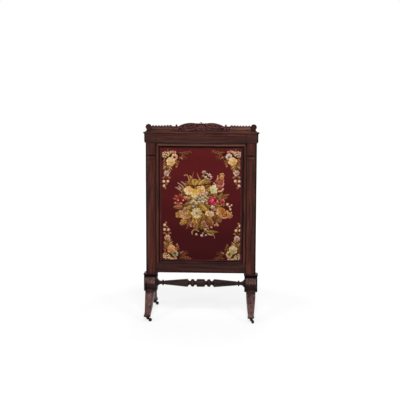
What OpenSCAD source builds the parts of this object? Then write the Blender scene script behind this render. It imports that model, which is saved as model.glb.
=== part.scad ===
// Cheval fire screen: a needlework panel in a sliding frame, held between two
// pilastered uprights on scroll-topped swept legs with small brass casters.
// Millimetres. The origin is on the floor under the middle of the screen, +Z is
// up, +X is to the right as seen from the front, and the front faces -Y.

/* [Uprights] */
// Width over the outer faces of the two uprights
frame_w = 634; // [600:1:680]
// Width of each upright seen from the front
post_w = 56; // [52:1:60]
// Thickness of the pilaster planted on each upright
pilaster_t = 8; // [6:0.5:10]
// Bare strip of upright outside the pilaster
pilaster_outer = 10.4; // [9:0.1:13]
// Bare strip of upright inside the pilaster
pilaster_inner = 2; // [1:0.5:4]
// How far the pilaster's front swells in the middle
pilaster_swell = 2.4; // [1:0.1:3]
// Height of the capital at the pilaster's top
capital_h = 61; // [50:1:70]
// Height of the necking moulding under the capital
necking_h = 35; // [28:1:40]
// How far the necking's fillets stand out
necking_out = 2; // [1:0.5:3]
// Radius of the hollow along the uprights' outer front corners
arris_r = 7; // [5:0.5:8]
// Depth of the grooves that the slide runs in
groove_d = 10; // [9:0.5:12]

/* [Heights] */
// Underside of the base blocks above the floor
block_z = 138; // [130:1:150]
// Height of the base blocks
block_h = 91; // [86:1:100]
// Height of the collar on each base block
collar_h = 11; // [9:1:13]
// Underside of the bottom rail above the collars
rail_lift = 4; // [2:1:10]
// Height of the bottom rail at its front
rail_h = 50; // [44:1:60]
// Height of the opening between the bottom rail and the frieze
opening_h = 700; // [600:1:760]
// Height of the frieze boards
frieze_h = 62; // [56:1:70]

/* [Top boards] */
// Thickness of the front and back frieze boards
board_t = 13; // [11:0.5:15]
// Thickness of the end blocks planted over the uprights
end_block_t = 3; // [2:0.5:4]
// Height of the cornice's top fillet
fillet_h = 6; // [4:0.5:8]
// How far the cornice's top fillet stands out from the frieze
fillet_out = 10; // [8:0.5:12]
// Height of the cornice's hollow under the fillet
hollow_h = 9; // [7:0.5:11]
// Radius of the cornice's bead under the hollow
bead_r = 3; // [2:0.25:3.5]
// Thickness of the caps on the uprights' outer sides
cap_t = 8; // [6:0.5:10]
// How far the ears of the side caps stand out beyond the caps
ear_out = 6; // [4:0.5:8]
// Width of the side caps, front to back
cap_w = 44; // [36:1:45]

/* [Cresting] */
// Thickness of the cresting board
crest_t = 13.5; // [11:0.5:15]
// Height of the two humps of the arch above the frieze
hump_h = 52; // [46:1:60]
// Distance of each hump's top from the middle
hump_x = 58; // [50:1:66]
// Radius of the humps
hump_r = 140; // [120:1:160]
// Height of the board between the humps and the lobed flanks
dip_h = 33; // [30:1:37]
// Distance from the middle at which the lobed flanks begin
flank_x = 165; // [160:1:172]
// Height of the board behind the flanks' lobes
flank_h = 33; // [29:1:35]
// Lobes between the arch and the roundel on each flank
lobes = 7; // [6:1:9]
// Length of a lobe
lobe_l = 22; // [19:1:26]
// How far the lobes' round ends begin below the board's edge
lobe_drop = 4.5; // [3:0.5:6]
// How far the lobes nearest the arch stand above the others
lobe_rise = 2.4; // [0:0.2:4]
// Radius of the roundels at the ends
roundel_r = 17; // [14:0.5:18]
// Distance of the roundels' middle inside the uprights' outer faces
roundel_inset = 19; // [17:0.5:27]
// Height of the roundels' centres above the frieze
roundel_h = 28.5; // [26:0.5:32]
// Petals of the carved shell
petals = 7; // [5:2:9]
// Length of the shell's petals
petal_l = 34; // [28:1:36]
// Radius of the petals' round ends
petal_r = 4.4; // [3:0.1:5]
// Radius of the carved C-scrolls
scroll_r = 17; // [14:0.5:18]
// Width of the scrolls' stem
scroll_w = 6.5; // [5:0.5:7]
// Thickness of the scrolls, without the ridge along them
scroll_t = 2.4; // [1.5:0.1:3.5]
// Distance of the C-scrolls from the middle
scroll_x = 113; // [108:1:120]

/* [Slide] */
// Thickness of the sliding frame
slide_t = 26; // [24:1:30]
// Width of the flat band round the panel
band_w = 15.5; // [12:0.5:18]
// Width of the hollow between the band and the cloth
cove_w = 9.5; // [8:0.5:11]
// Width of the dark channel between the band and the uprights
channel_w = 3.4; // [3:0.2:5]
// Thickness of the tongues that run in the grooves
tongue_t = 10; // [8:0.5:12]
// How deep the bottom rail's lips hold the slide
lip_h = 8.5; // [6:0.5:10]
// Height of the slide's top above the frieze boards, negative when below
slide_top = -8; // [-14:1:-4]
// Strip of dark above the band, under the frieze
reveal = 3; // [2:0.5:5]
// How far the slide lifts
travel = 380; // [300:1:400]
// Depth of the cloth behind the slide's front
recess = 14; // [12:0.5:15]
// Width of the rebate that holds the cloth and strainer
rebate_w = 8.5; // [6:0.5:9]

/* [Panel] */
// Thickness of the needlework with its canvas
cloth_t = 1.2; // [1:0.1:1.6]
// Width of the strainer's members
strainer_w = 45; // [35:1:55]
// Thickness of the strainer
strainer_t = 8; // [6:0.5:8.5]
// Thickness of the backing cloth
backing_t = 0.6; // [0.5:0.1:1]
// Width of the gimp braid
gimp_w = 6; // [5:0.5:8]
// Thickness of the gimp braid
gimp_t = 1.2; // [1:0.1:1.5]

/* [Base] */
// Distance of the legs' middle inside the uprights' outer faces
leg_inset = 27; // [25:0.5:31]
// Width of the base blocks
block_w = 75; // [70:1:76]
// Depth of the base blocks
block_d = 68; // [62:1:76]
// Radius of the collar's nosing
nosing_r = 3.2; // [2.5:0.1:3.6]
// Radius of the rolls at the legs' tops
roll_r = 40; // [36:0.5:42]
// Distance of a roll's centre in front of the middle
roll_y = 46; // [42:1:50]
// Height of a roll's centre above the block's underside
roll_lift = 43; // [42:1:46]
// Width of the rolls at the legs' tops
roll_w = 60; // [54:1:64]
// Width of the legs at their tops
leg_top_w = 54; // [48:1:56]
// Width of the legs at the feet
leg_foot_w = 31; // [30:0.5:34]
// Width of the raised band down the front of each leg
leg_band_w = 29; // [24:1:30]
// How far that band stands above the rest of the leg
leg_band_out = 3; // [1.5:0.25:4]
// Thickness of a leg at its top
leg_top_t = 44; // [36:1:48]
// Thickness of a leg at its foot
leg_foot_t = 26; // [22:1:30]
// Distance of the feet's centres in front of the middle
foot_y = 203; // [190:1:220]
// Width of the small roll at each toe
toe_w = 36.5; // [34:0.5:40]
// Radius of that roll
toe_r = 7.5; // [6:0.25:8.5]
// Carved ribs on each roll
roll_ribs = 5; // [3:2:5]
// Spacing of the ribs on a roll
rib_pitch = 10.5; // [9:0.25:11.5]

/* [Stretcher] */
// Height of the stretcher's axis above the floor
stretcher_z = 181; // [176:1:186]
// Radius of the stretcher's barrel, beads and cones at their widest
stretcher_r = 23; // [20:0.5:24]
// Radius of the stretcher's necks
neck_r = 12.4; // [11.6:0.2:15]
// Radius of the narrow neck beside each flared end
end_neck_r = 10.4; // [9.8:0.2:11.4]
// Radius of the small bead beside each flared end
end_bead_r = 17; // [14:0.5:18]
// Radius of the spigots that hold the stretcher in the blocks
spigot_r = 9; // [7:0.5:9.5]
// Length of the spigots
spigot_l = 18; // [14:1:24]

/* [Casters] */
// Diameter of a caster wheel
wheel_d = 20; // [16:0.5:20.5]
// Width of a caster wheel
wheel_w = 7; // [5:0.5:8]
// Distance of a wheel's axle behind its swivel pin
trail = 16; // [16:0.5:18]
// Radius of the axles
axle_r = 1.6; // [1.4:0.1:2]
// Radius of the swivel pins
pin_r = 2.5; // [2:0.1:3]
// Underside of the caster plates above the floor
plate_z = 24.5; // [23:0.5:27]
// Thickness of the caster plates
plate_t = 2.5; // [2:0.5:3]
// Radius of the caster plates
plate_r = 12; // [11:0.5:14]
// Radius of the stem that holds a caster in its leg
stem_r = 4; // [3:0.5:4.5]
// Length of that stem
stem_l = 20; // [16:1:22]

/* [Hidden] */
$fn = 64;

// Clearances
seat_gap = 0.3;
run_gap = 1;
shoulder_gap = 0.6;
groove_gap = 0.4;
fit_gap = 0.15;
bearing_gap = 0.05;
eps = 0.01;

// Planes from front to back
slot_w = slide_t + 2 * run_gap;
front_y = -(slot_w / 2 + board_t);
back_y = slot_w / 2 + board_t;
post_front = front_y + pilaster_t;

// Levels from the floor up
post_z = block_z + block_h + collar_h;
rail_z = post_z + rail_lift;
rail_top = rail_z + rail_h;
frieze_z = rail_top + opening_h;
top_z = frieze_z + frieze_h;
ledge_z = rail_top - lip_h;
capital_z = frieze_z - capital_h;
necking_z = capital_z - necking_h;
cornice_z = top_z - fillet_h;

// Places across the width
post_out = frame_w / 2;
post_in = post_out - post_w;
pilaster_w = post_w - pilaster_outer - pilaster_inner;

// Slide
slide_front = -slide_t / 2;
slide_back = slide_t / 2;
slide_z = ledge_z + seat_gap;
slide_top_z = top_z + slide_top;
shoulder_x = post_in - shoulder_gap;
band_x = shoulder_x - channel_w;
sight_x = band_x - band_w - cove_w;
sight_low = slide_z + cove_w + band_w;
sight_high = frieze_z - reveal - band_w - cove_w;
tongue_x = post_in + groove_d - 2.6;
cloth_y = slide_front + recess;
cove_shift = 1.5;
cove_step = 1.2;
cove_r = cove_w + cove_shift;
cloth_lap = rebate_w - 2 * seat_gap;
backing_lap = cloth_lap - 2;

// Joinery
tenon_t = 8;
rail_tenon_l = 20;
rail_tenon_inset = 6;
board_tenon_l = 12;
board_tenon_inset = 8;
post_tenon_l = 45;
post_tenon_w = 30;
post_tenon_d = 24;

// Cornice and end blocks
end_block_w = post_w + 2;
moulding_x = post_out - end_block_w;

// Base
leg_x = post_out - leg_inset;
leg_start = block_d / 2;
foot_z = plate_z + plate_t;
roll_z = block_z + roll_lift;
// The leg's side view follows a curve through these points, in distance from
// the middle and height
leg_from = [roll_y + 6, block_z + 12];
leg_bend = [roll_y + 62, block_z - 50];
leg_to = [foot_y, foot_z + 11];
leg_steps = 14;
toe_out = 10;

// Stretcher, as distances from its middle
barrel_half = 25;
barrel_round = 7;
bead_at = 47;
bead_half = 11.5;
outer_neck = 68;
cone_wide = 77;
cone_narrow_gap = 43;
block_in = leg_x - block_w / 2;
cone_narrow = block_in - cone_narrow_gap;
end_bead_at = block_in - 33;
end_bead_half = 5;
flare_at = block_in - 20;
flare_back = 2;
flare_up = 8;

// Casters: rest angle of each trail, and signs of its place
CORNERS = [
    [-1, -1, 0],
    [1, -1, -50],
    [-1, 1, 0],
    [1, 1, 130]
];
axle_z = wheel_d / 2;
horn_top = plate_z - seat_gap;
boss_r = 5.5;
boss_z = 13.5;
cheek_t = 2;
cheek_gap = 0.5;
cheek_y = wheel_w / 2 + cheek_gap;

// Woods and metals
rosewood = "#4b2c2a";
rosewood_dark = "#35201d";
rosewood_light = "#5f4038";
pine = "#b99b6b";
crimson = "#5f1d1e";
braid = "#8a7076";
linen = "#9a8f78";
brass = "#7d6234";
steel = "#6d6f72";

// Geometry helpers

function unit(v) = v / norm(v);

function bezier(a, b, c, t) =
    a * (1 - t) * (1 - t) + b * 2 * t * (1 - t) + c * t * t;

function bezier_way(a, b, c, t) =
    unit((b - a) * (1 - t) + (c - b) * t);

function left_of(v) = [-v[1], v[0]];

// Children are made for the right side and mirrored for the left
module on_side(side) {
    if (side < 0) {
        mirror([1, 0, 0]) children();
    } else {
        children();
    }
}

// Children are made towards the back and mirrored for the front
module on_end(end) {
    if (end < 0) {
        mirror([0, 1, 0]) children();
    } else {
        children();
    }
}

// A box from its low corner to its high corner
module block(low, high) {
    translate(low) cube(high - low);
}

// A flat drawing in X and Z, from one Y to another
module upright_sheet(from_y, to_y) {
    translate([0, to_y, 0])
        rotate([90, 0, 0])
            linear_extrude(height = to_y - from_y)
                children();
}

// A flat drawing in Y and Z, from one X to another
module run_along_x(from_x, to_x) {
    translate([from_x, 0, 0])
        rotate([90, 0, 90])
            linear_extrude(height = to_x - from_x)
                children();
}

// A carved lobe or petal: pointed at both ends and round between, along Z
module spindle(length, r) {
    big = (length * length / 4 + r * r) / (2 * r);
    rotate_extrude()
        intersection() {
            translate([r - big, 0]) circle(r = big, $fn = 96);
            translate([0, -length / 2]) square([r, length]);
        }
}

// Uprights and what is planted on them

module upright(side) {
    color(rosewood)
        on_side(side)
            difference() {
                union() {
                    block([post_in, post_front, post_z], [post_out, back_y, top_z]);
                    post_tenon(0);
                }
                // Groove for the slide's tongue
                block(
                    [post_in - eps, -tongue_t / 2 - groove_gap, ledge_z],
                    [post_in + groove_d, tongue_t / 2 + groove_gap, top_z + eps]
                );
                // Hollow along the outer front corner, stopped under the capital
                translate([post_out, post_front, post_z - eps])
                    cylinder(r = arris_r, h = frieze_z - post_z + eps);
                rail_tenon(fit_gap);
                back_board_tenon(fit_gap);
            }
}

// The tenon under an upright, and the mortise for it when grown by a gap
module post_tenon(gap) {
    mid = (post_front + back_y) / 2;
    low = [post_out - (post_w + post_tenon_w) / 2, mid - post_tenon_d / 2, post_z - post_tenon_l];
    high = [post_out - (post_w - post_tenon_w) / 2, mid + post_tenon_d / 2, post_z + eps];
    block(low - gap * [1, 1, 1], high + gap * [1, 1, 0]);
}

module rail_tenon(gap) {
    block(
        [post_in - eps, -tenon_t / 2 - gap, rail_z + rail_tenon_inset - gap],
        [post_in + rail_tenon_l + gap, tenon_t / 2 + gap, ledge_z - rail_tenon_inset + gap]
    );
}

module back_board_tenon(gap) {
    mid = back_y - board_t / 2;
    block(
        [post_in - eps, mid - tenon_t / 2 - gap, frieze_z + board_tenon_inset - gap],
        [post_in + board_tenon_l + gap, mid + tenon_t / 2 + gap, top_z - board_tenon_inset + gap]
    );
}

// Front of the shaft: a shallow swell between two small flats
module shaft_section() {
    swell_r = (pilaster_w * pilaster_w / 4 + pilaster_swell * pilaster_swell) / (2 * pilaster_swell);
    intersection() {
        translate([0, front_y]) square([pilaster_w, pilaster_t]);
        translate([pilaster_w / 2, front_y + swell_r]) circle(r = swell_r, $fn = 200);
    }
}

module pilaster(side) {
    fillet = 4;
    quirk = 3;
    hollow_d = 5;
    hollow_half = necking_h / 2 - fillet - quirk;
    hollow_r = (hollow_half * hollow_half + hollow_d * hollow_d) / (2 * hollow_d);
    color(rosewood_light)
        on_side(side)
            translate([post_in + pilaster_inner, 0, 0]) {
                translate([0, 0, post_z])
                    linear_extrude(height = necking_z - post_z + eps)
                        shaft_section();
                run_along_x(0, pilaster_w)
                    difference() {
                        translate([front_y - necking_out, necking_z])
                            square([pilaster_t + necking_out, necking_h]);
                        // The hollow between the two fillets
                        translate([front_y - necking_out - hollow_r + hollow_d, necking_z + necking_h / 2])
                            circle(r = hollow_r);
                        for (end = [0, 1])
                            translate([
                                front_y - necking_out - eps,
                                necking_z + fillet + end * (necking_h - 2 * fillet - quirk)
                            ])
                                square([necking_out, quirk]);
                    }
                block([0, front_y, capital_z - eps], [pilaster_w, post_front, frieze_z]);
            }
}

module side_cap(side) {
    splay_h = 7;
    splay_in = 4;
    ear_z = frieze_h - 14;
    ear_tip = 2;
    color(rosewood_dark)
        on_side(side)
            translate([post_out, 0, frieze_z])
                upright_sheet(back_y - cap_w, back_y)
                    difference() {
                        polygon([
                            [0, 0],
                            [cap_t - splay_in, 0],
                            [cap_t, splay_h],
                            [cap_t, ear_z],
                            [cap_t + ear_out, ear_z],
                            [cap_t + ear_out, frieze_h - ear_tip],
                            [cap_t, frieze_h],
                            [0, frieze_h]
                        ]);
                        translate([cap_t + ear_out, ear_z]) circle(r = ear_out);
                    }
}

module end_block(side) {
    color(rosewood_light)
        on_side(side)
            block([moulding_x, front_y - end_block_t, frieze_z], [post_out, front_y, cornice_z]);
}

// Top boards and cornice

module frieze_front() {
    color(rosewood)
        union() {
            block([-post_out, front_y, frieze_z], [post_out, post_front, top_z]);
            block([-post_in, post_front - eps, frieze_z], [post_in, front_y + board_t, top_z]);
        }
}

module frieze_back() {
    color(rosewood)
        union() {
            block([-post_in, back_y - board_t, frieze_z], [post_in, back_y, top_z]);
            for (side = [-1, 1])
                on_side(side) back_board_tenon(0);
        }
}

module cornice() {
    hollow_r = 12;
    step_in = 1.5;
    bead_sink = 1;
    hollow_out = fillet_out - step_in;
    color(rosewood_light)
        union() {
            block([-post_out, front_y - fillet_out, cornice_z], [post_out, front_y, top_z]);
            run_along_x(-moulding_x, moulding_x) {
                difference() {
                    translate([front_y - hollow_out, cornice_z - hollow_h])
                        square([hollow_out, hollow_h + eps]);
                    translate([front_y - hollow_r - step_in / 3, cornice_z - hollow_r + 1])
                        circle(r = hollow_r);
                    translate([front_y - fillet_out, cornice_z - hollow_h - eps])
                        square([hollow_out - step_in, hollow_h - 2]);
                }
                intersection() {
                    translate([front_y - bead_r + bead_sink, cornice_z - hollow_h - bead_r + bead_sink / 2])
                        circle(r = bead_r);
                    translate([front_y - 3 * bead_r, cornice_z - hollow_h - 3 * bead_r])
                        square([3 * bead_r, 4 * bead_r]);
                }
            }
        }
}

// Cresting

crest_back = -slot_w / 2 - 0.5;
crest_front = crest_back - crest_t;
roundel_x = post_out - roundel_inset;
flank_end = roundel_x - roundel_r - seat_gap;
lobe_pitch = (flank_end - flank_x) / lobes;
lobe_r = lobe_pitch / 2;
lobe_lean = 28;
swell_r = 9;
swell_h = 17;
swell_in = 4;
crest_foot = 5;
crest_foot_h = 3;
roundel_lap = 1.5;
middle_half = 36;
middle_drop = 3.5;
knob_in = 5;

// Outline of the right half, from the middle to the roundel
module crest_outline() {
    intersection() {
        translate([hump_x, hump_h - hump_r]) circle(r = hump_r, $fn = 240);
        square([flank_x, hump_h + 1]);
    }
    square([middle_half, hump_h - middle_drop]);
    square([flank_x, dip_h]);
    polygon([
        [flank_x - 1, 0],
        [flank_x - 1, flank_h + lobe_rise],
        [flank_x + 3 * lobe_pitch, flank_h],
        [roundel_x, flank_h],
        [roundel_x + roundel_r * 0.65, flank_h * 0.75],
        [roundel_x + roundel_r * 0.65, flank_h * 0.5],
        [post_out - 6, 8],
        [post_out, 4],
        [post_out, 0]
    ]);
    translate([roundel_x, roundel_h]) circle(r = roundel_r - roundel_lap);
}

// The flank in cross-section: a foot, a hollow and a swell
module flank_section() {
    translate([crest_front, 0]) square([crest_t, flank_h]);
    translate([crest_front + swell_in, swell_h]) circle(r = swell_r);
}

module crest_board() {
    middle_knob_r = 4.5;
    flank_knob_r = 6;
    flank_knob_x = flank_x - 25;
    flank_knob_z = dip_h + 4;
    color(rosewood)
        translate([0, 0, top_z])
            for (side = [-1, 1])
                on_side(side) {
                    upright_sheet(crest_front, crest_back) crest_outline();
                    block(
                        [-eps, crest_front - crest_foot, 0],
                        [post_out, crest_front + 1, crest_foot_h]
                    );
                    run_along_x(flank_x, flank_end) flank_section();
                    for (i = [0:lobes - 1])
                        crest_lobe(i);
                    // Small lobes along the top between the humps
                    for (x = [11, 26])
                        upright_sheet(crest_front, crest_back)
                            translate([x, hump_h - 9.5]) circle(r = 8);
                    // Knobs at the middle and where the arch meets the flank
                    translate([0, crest_front + knob_in, hump_h]) sphere(r = middle_knob_r);
                    translate([flank_knob_x, crest_front + knob_in, flank_knob_z]) sphere(r = flank_knob_r);
                }
}

module crest_lobe(i) {
    rise = max(0, 3 - i) * lobe_rise / 3;
    intersection() {
        translate([flank_x + (i + 0.5) * lobe_pitch, crest_front + swell_in, flank_h - lobe_drop + rise])
            rotate([-lobe_lean, 0, 0])
                spindle(lobe_l, lobe_r);
        block([flank_x, crest_front - lobe_l, 0], [flank_end, crest_back, hump_h]);
    }
}

module roundel(side) {
    out = 8;
    round_r = 3;
    color(rosewood_dark)
        on_side(side)
            translate([roundel_x, crest_front, top_z + roundel_h])
                rotate([90, 0, 0])
                    rotate_extrude()
                        difference() {
                            union() {
                                square([roundel_r - round_r, out]);
                                square([roundel_r, out - round_r]);
                                translate([roundel_r - round_r, out - round_r]) circle(r = round_r);
                            }
                            // Ring sunk round the eye
                            translate([roundel_r * 0.6, out]) circle(r = 2.8);
                        }
}

// A petal that widens from its root to a round end, along Z
module petal(length, r) {
    root_r = 1;
    rotate_extrude()
        intersection() {
            union() {
                polygon([[0, 0], [root_r, 0], [r, length - r], [0, length - r]]);
                translate([0, length - r]) circle(r = r);
            }
            square([r, length]);
        }
}

module crest_shell() {
    fan = 138;
    foot_h = 9;
    heart_r = 6.5;
    root_at = 5;
    color(rosewood_light)
        intersection() {
            translate([0, crest_front, top_z + foot_h])
                union() {
                    for (i = [0:petals - 1])
                        rotate([0, -fan / 2 + fan * i / (petals - 1), 0])
                            translate([0, 0, root_at]) petal(petal_l - root_at, petal_r);
                    sphere(r = heart_r);
                }
            block(
                [-hump_x, crest_front - 2 * heart_r, top_z + crest_foot_h + seat_gap],
                [hump_x, crest_front, top_z + hump_h]
            );
        }
}

// A flat band bent round part of a circle
module arc_band(r, width, from, to) {
    wedge_r = 3 * r;
    turn = (to - from) / 6;
    rim = [for (i = [0:6]) wedge_r * [cos(from + i * turn), sin(from + i * turn)]];
    intersection() {
        difference() {
            circle(r = r + width / 2);
            circle(r = r - width / 2);
        }
        polygon(concat([[0, 0]], rim));
    }
}

// The C-scroll's outline: a wide arc, a curl at its outer end and an eye
module scroll_outline(width) {
    curl_r = 6.5;
    arc_turn = 200;
    curl_turn = 190;
    arc_band(scroll_r, width, 0, arc_turn);
    translate([scroll_r - curl_r, 0]) {
        arc_band(curl_r, width, -curl_turn, 0);
        translate([-curl_r, 1]) circle(r = width * 0.7);
    }
}

module crest_scroll(side) {
    foot_h = 14;
    leaf_step = 12;
    leaf_l = 28;
    leaf_r = 4.4;
    ridge_t = 1.6;
    color(rosewood_light)
        on_side(side)
            translate([scroll_x, crest_front, top_z + foot_h]) {
                upright_sheet(-scroll_t, 0) scroll_outline(scroll_w);
                upright_sheet(-scroll_t - ridge_t, 0) scroll_outline(scroll_w / 2);
                // Leaves that run from the scroll up under the hump
                for (i = [0:2])
                    intersection() {
                        translate([-scroll_r - 6 - i * leaf_step, 0, 2 + i * leaf_step / 2])
                            rotate([0, i * 6 - 68, 0])
                                spindle(leaf_l, leaf_r);
                        block([-scroll_x, -leaf_l, -leaf_l], [0, 0, 2 * leaf_l]);
                    }
            }
}

// Bottom rail

module bottom_rail() {
    half = slot_w / 2 + 7;
    color(rosewood_dark)
        difference() {
            union() {
                block([-post_in, -half, rail_z], [post_in, half, rail_top]);
                for (side = [-1, 1])
                    on_side(side) rail_tenon(0);
            }
            // The slide drops into this channel
            block([-post_in - 1, -slot_w / 2, ledge_z], [post_in + 1, slot_w / 2, rail_top + 1]);
            // Rounded front edge
            run_along_x(-post_in - 1, post_in + 1)
                translate([-half, rail_top - 3])
                    difference() {
                        translate([-1, 0]) square([4, 4]);
                        translate([3, 0]) circle(r = 3);
                    }
        }
}

// Base

module base_block(side) {
    color(rosewood_dark)
        on_side(side)
            difference() {
                block(
                    [leg_x - block_w / 2, -block_d / 2, block_z],
                    [leg_x + block_w / 2, block_d / 2, block_z + block_h]
                );
                post_tenon(fit_gap);
                translate([block_in - eps, 0, stretcher_z])
                    rotate([0, 90, 0])
                        cylinder(r = spigot_r + fit_gap, h = spigot_l + 0.5);
            }
}

// The collar's edge, drawn for a block of the given width
module collar_section(width) {
    translate([-width / 2, 0]) square([width, collar_h]);
    for (end = [-1, 1])
        translate([end * width / 2, collar_h - nosing_r - 1]) circle(r = nosing_r);
}

module collar(side) {
    color(rosewood)
        on_side(side)
            difference() {
                translate([leg_x, 0, block_z + block_h])
                    intersection() {
                        upright_sheet(-block_d, block_d) collar_section(block_w);
                        run_along_x(-block_w, block_w) collar_section(block_d);
                    }
                post_tenon(fit_gap);
            }
}

// One edge of the swept shank's side view, in distance from the middle and
// height: 1 for the front edge and -1 for the back one, cut in by an inset
function leg_edge(edge, inset) = [
    for (i = [0:leg_steps])
        let (
            t = i / leg_steps,
            way = bezier_way(leg_from, leg_bend, leg_to, t),
            thick = leg_top_t + (leg_foot_t - leg_top_t) * t
        )
        bezier(leg_from, leg_bend, leg_to, t) + edge * left_of(way) * (thick / 2 - inset)
];

function reversed(list) = [for (i = [len(list) - 1:-1:0]) list[i]];

// A roll turned on a crosswise axis, with a sunk side and an eye at each end
module leg_roll() {
    half = roll_w / 2;
    drum_r = roll_r - 3;
    eye_r = 13;
    rim = 4;
    sunk = 2;
    rib_r = 4.6;
    ribs_from = 72;
    ribs_turn = 118;
    rotate([0, 90, 0]) {
        rotate_extrude($fn = 96)
            difference() {
                translate([0, -half]) square([drum_r, roll_w]);
                for (end = [-1, 1])
                    translate([eye_r, end * half - sunk]) square([drum_r - rim - eye_r, 2 * sunk]);
            }
        for (i = [0:roll_ribs - 1])
            rotate([0, 0, ribs_from])
                translate([0, 0, (i - (roll_ribs - 1) / 2) * rib_pitch])
                    rotate_extrude(angle = ribs_turn, $fn = 96)
                        translate([roll_r - rib_r, 0]) circle(r = rib_r, $fn = 32);
    }
}

// The shank's side view, with its front cut in by an inset
module shank_side(inset) {
    polygon(concat(leg_edge(1, inset), reversed(leg_edge(-1, 0))));
}

// The shank tapers to the foot, and the raised band on its front does not
module leg_shank() {
    taper_from = roll_y + 14;
    run_along_x(-leg_band_w / 2, leg_band_w / 2) shank_side(0);
    intersection() {
        run_along_x(-leg_top_w, leg_top_w) shank_side(leg_band_out);
        linear_extrude(height = block_z + block_h)
            polygon([
                [-leg_top_w / 2, 0],
                [-leg_top_w / 2, taper_from],
                [-leg_foot_w / 2, foot_y],
                [-leg_foot_w / 2, foot_y + toe_w],
                [leg_foot_w / 2, foot_y + toe_w],
                [leg_foot_w / 2, foot_y],
                [leg_top_w / 2, taper_from],
                [leg_top_w / 2, 0]
            ]);
    }
}

// The foot: a sole under the shank's end, and a small roll at the toe
module leg_foot() {
    toe_y = foot_y + toe_out;
    heel_y = foot_y - 16;
    sole_h = 5;
    sole_in = 1.5;
    eye_r = 3;
    eye_deep = 1;
    block(
        [sole_in - toe_w / 2, heel_y, foot_z],
        [toe_w / 2 - sole_in, toe_y, foot_z + sole_h]
    );
    run_along_x(-leg_foot_w / 2, leg_foot_w / 2)
        polygon([
            [heel_y, foot_z + sole_h - eps],
            [toe_y, foot_z + sole_h - eps],
            [toe_y + toe_r * sin(35), foot_z + toe_r + toe_r * cos(35)],
            [foot_y + 6, foot_z + 22.5],
            [heel_y, foot_z + 16]
        ]);
    translate([0, toe_y, foot_z + toe_r])
        rotate([0, 90, 0])
            difference() {
                cylinder(r = toe_r, h = toe_w, center = true);
                for (end = [-1, 1])
                    translate([0, 0, end * toe_w / 2])
                        cylinder(r = eye_r, h = 2 * eye_deep, center = true);
            }
}

module leg(side, end) {
    seat_drop = 40;
    color(rosewood_light)
        on_side(side)
            on_end(end)
                translate([leg_x, 0, 0])
                    difference() {
                        union() {
                            translate([0, roll_y, roll_z]) leg_roll();
                            leg_shank();
                            leg_foot();
                        }
                        // The leg meets the base block here
                        block(
                            [-roll_w, -block_d, block_z - seat_drop],
                            [roll_w, leg_start, block_z + block_h]
                        );
                        // Flat sole
                        block([-leg_top_w, 0, 0], [leg_top_w, foot_y + 2 * toe_w, foot_z]);
                        translate([0, foot_y, foot_z - 1])
                            cylinder(r = stem_r + fit_gap, h = stem_l + 1.5);
                    }
}

// Stretcher

// Half of the turned outline, along X from the middle
module stretcher_turning() {
    // Barrel with rounded ends
    square([barrel_half - barrel_round, stretcher_r]);
    translate([barrel_half - barrel_round, stretcher_r - barrel_round]) circle(r = barrel_round);
    square([barrel_half, stretcher_r - barrel_round]);
    square([outer_neck + 2, neck_r]);
    translate([bead_at - bead_half, 0]) square([2 * bead_half, stretcher_r - bead_half]);
    translate([bead_at, stretcher_r - bead_half]) circle(r = bead_half);
    translate([end_bead_at, end_bead_r - end_bead_half]) circle(r = end_bead_half);
    translate([end_bead_at - end_bead_half, 0]) square([2 * end_bead_half, end_bead_r - end_bead_half]);
    // Flared end against the block
    difference() {
        translate([flare_at, 0]) square([block_in - flare_at, stretcher_r]);
        translate([flare_at - flare_back, stretcher_r + flare_up])
            circle(r = stretcher_r + flare_up - end_neck_r);
    }
    square([flare_at + flare_back, end_neck_r]);
}

// A cone with eight flats, as four crossing wedges
module faceted_cone() {
    flat_r = stretcher_r - 0.6;
    small_r = end_neck_r + 0.8;
    start_r = neck_r - 0.5;
    intersection_for(turn = [0, 45, 90, 135])
        rotate([turn, 0, 0])
            upright_sheet(-2 * stretcher_r, 2 * stretcher_r)
                polygon([
                    [outer_neck, -start_r],
                    [cone_wide, -flat_r],
                    [cone_narrow, -small_r],
                    [cone_narrow, small_r],
                    [cone_wide, flat_r],
                    [outer_neck, start_r]
                ]);
}

module stretcher() {
    color(rosewood_dark)
        translate([0, 0, stretcher_z])
            for (side = [-1, 1])
                on_side(side) {
                    rotate([0, 90, 0])
                        rotate_extrude()
                            intersection() {
                                rotate(90) mirror([0, 1]) stretcher_turning();
                                translate([0, -eps]) square([stretcher_r + 1, block_in + eps]);
                            }
                    faceted_cone();
                    translate([block_in - eps, 0, 0])
                        rotate([0, 90, 0])
                            cylinder(r = spigot_r, h = spigot_l);
                }
}

// Slide

// Cross-section of the moulded members, outward from the cloth and from front
// to back, out to the given width. The board behind the band starts at step_y.
module member_section(width, step_y) {
    difference() {
        translate([0, slide_front]) square([width, slide_t]);
        translate([-cove_shift, slide_front + cove_step]) circle(r = cove_r, $fn = 96);
        translate([-1, slide_front - 1]) square([cove_w + 1, cove_step + 1]);
        translate([-1, cloth_y]) square([rebate_w + 1, slide_t]);
        translate([cove_w + band_w, slide_front - 1]) square([width, step_y - slide_front + 1]);
    }
}

module slide_stile(side) {
    color(rosewood_light)
        on_side(side)
            intersection() {
                translate([sight_x, 0, slide_z])
                    linear_extrude(height = slide_top_z - slide_z)
                        difference() {
                            member_section(tongue_x - sight_x, -tongue_t / 2);
                            // Back shoulder of the tongue
                            translate([shoulder_x - sight_x, tongue_t / 2])
                                square([tongue_x, slide_t]);
                        }
                upright_sheet(-slide_t, slide_t)
                    polygon([
                        [sight_x, sight_low],
                        [sight_x, sight_high],
                        [band_x, sight_high + cove_w + band_w],
                        [band_x, slide_top_z],
                        [tongue_x, slide_top_z],
                        [tongue_x, slide_z],
                        [band_x, slide_z]
                    ]);
            }
}

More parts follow.
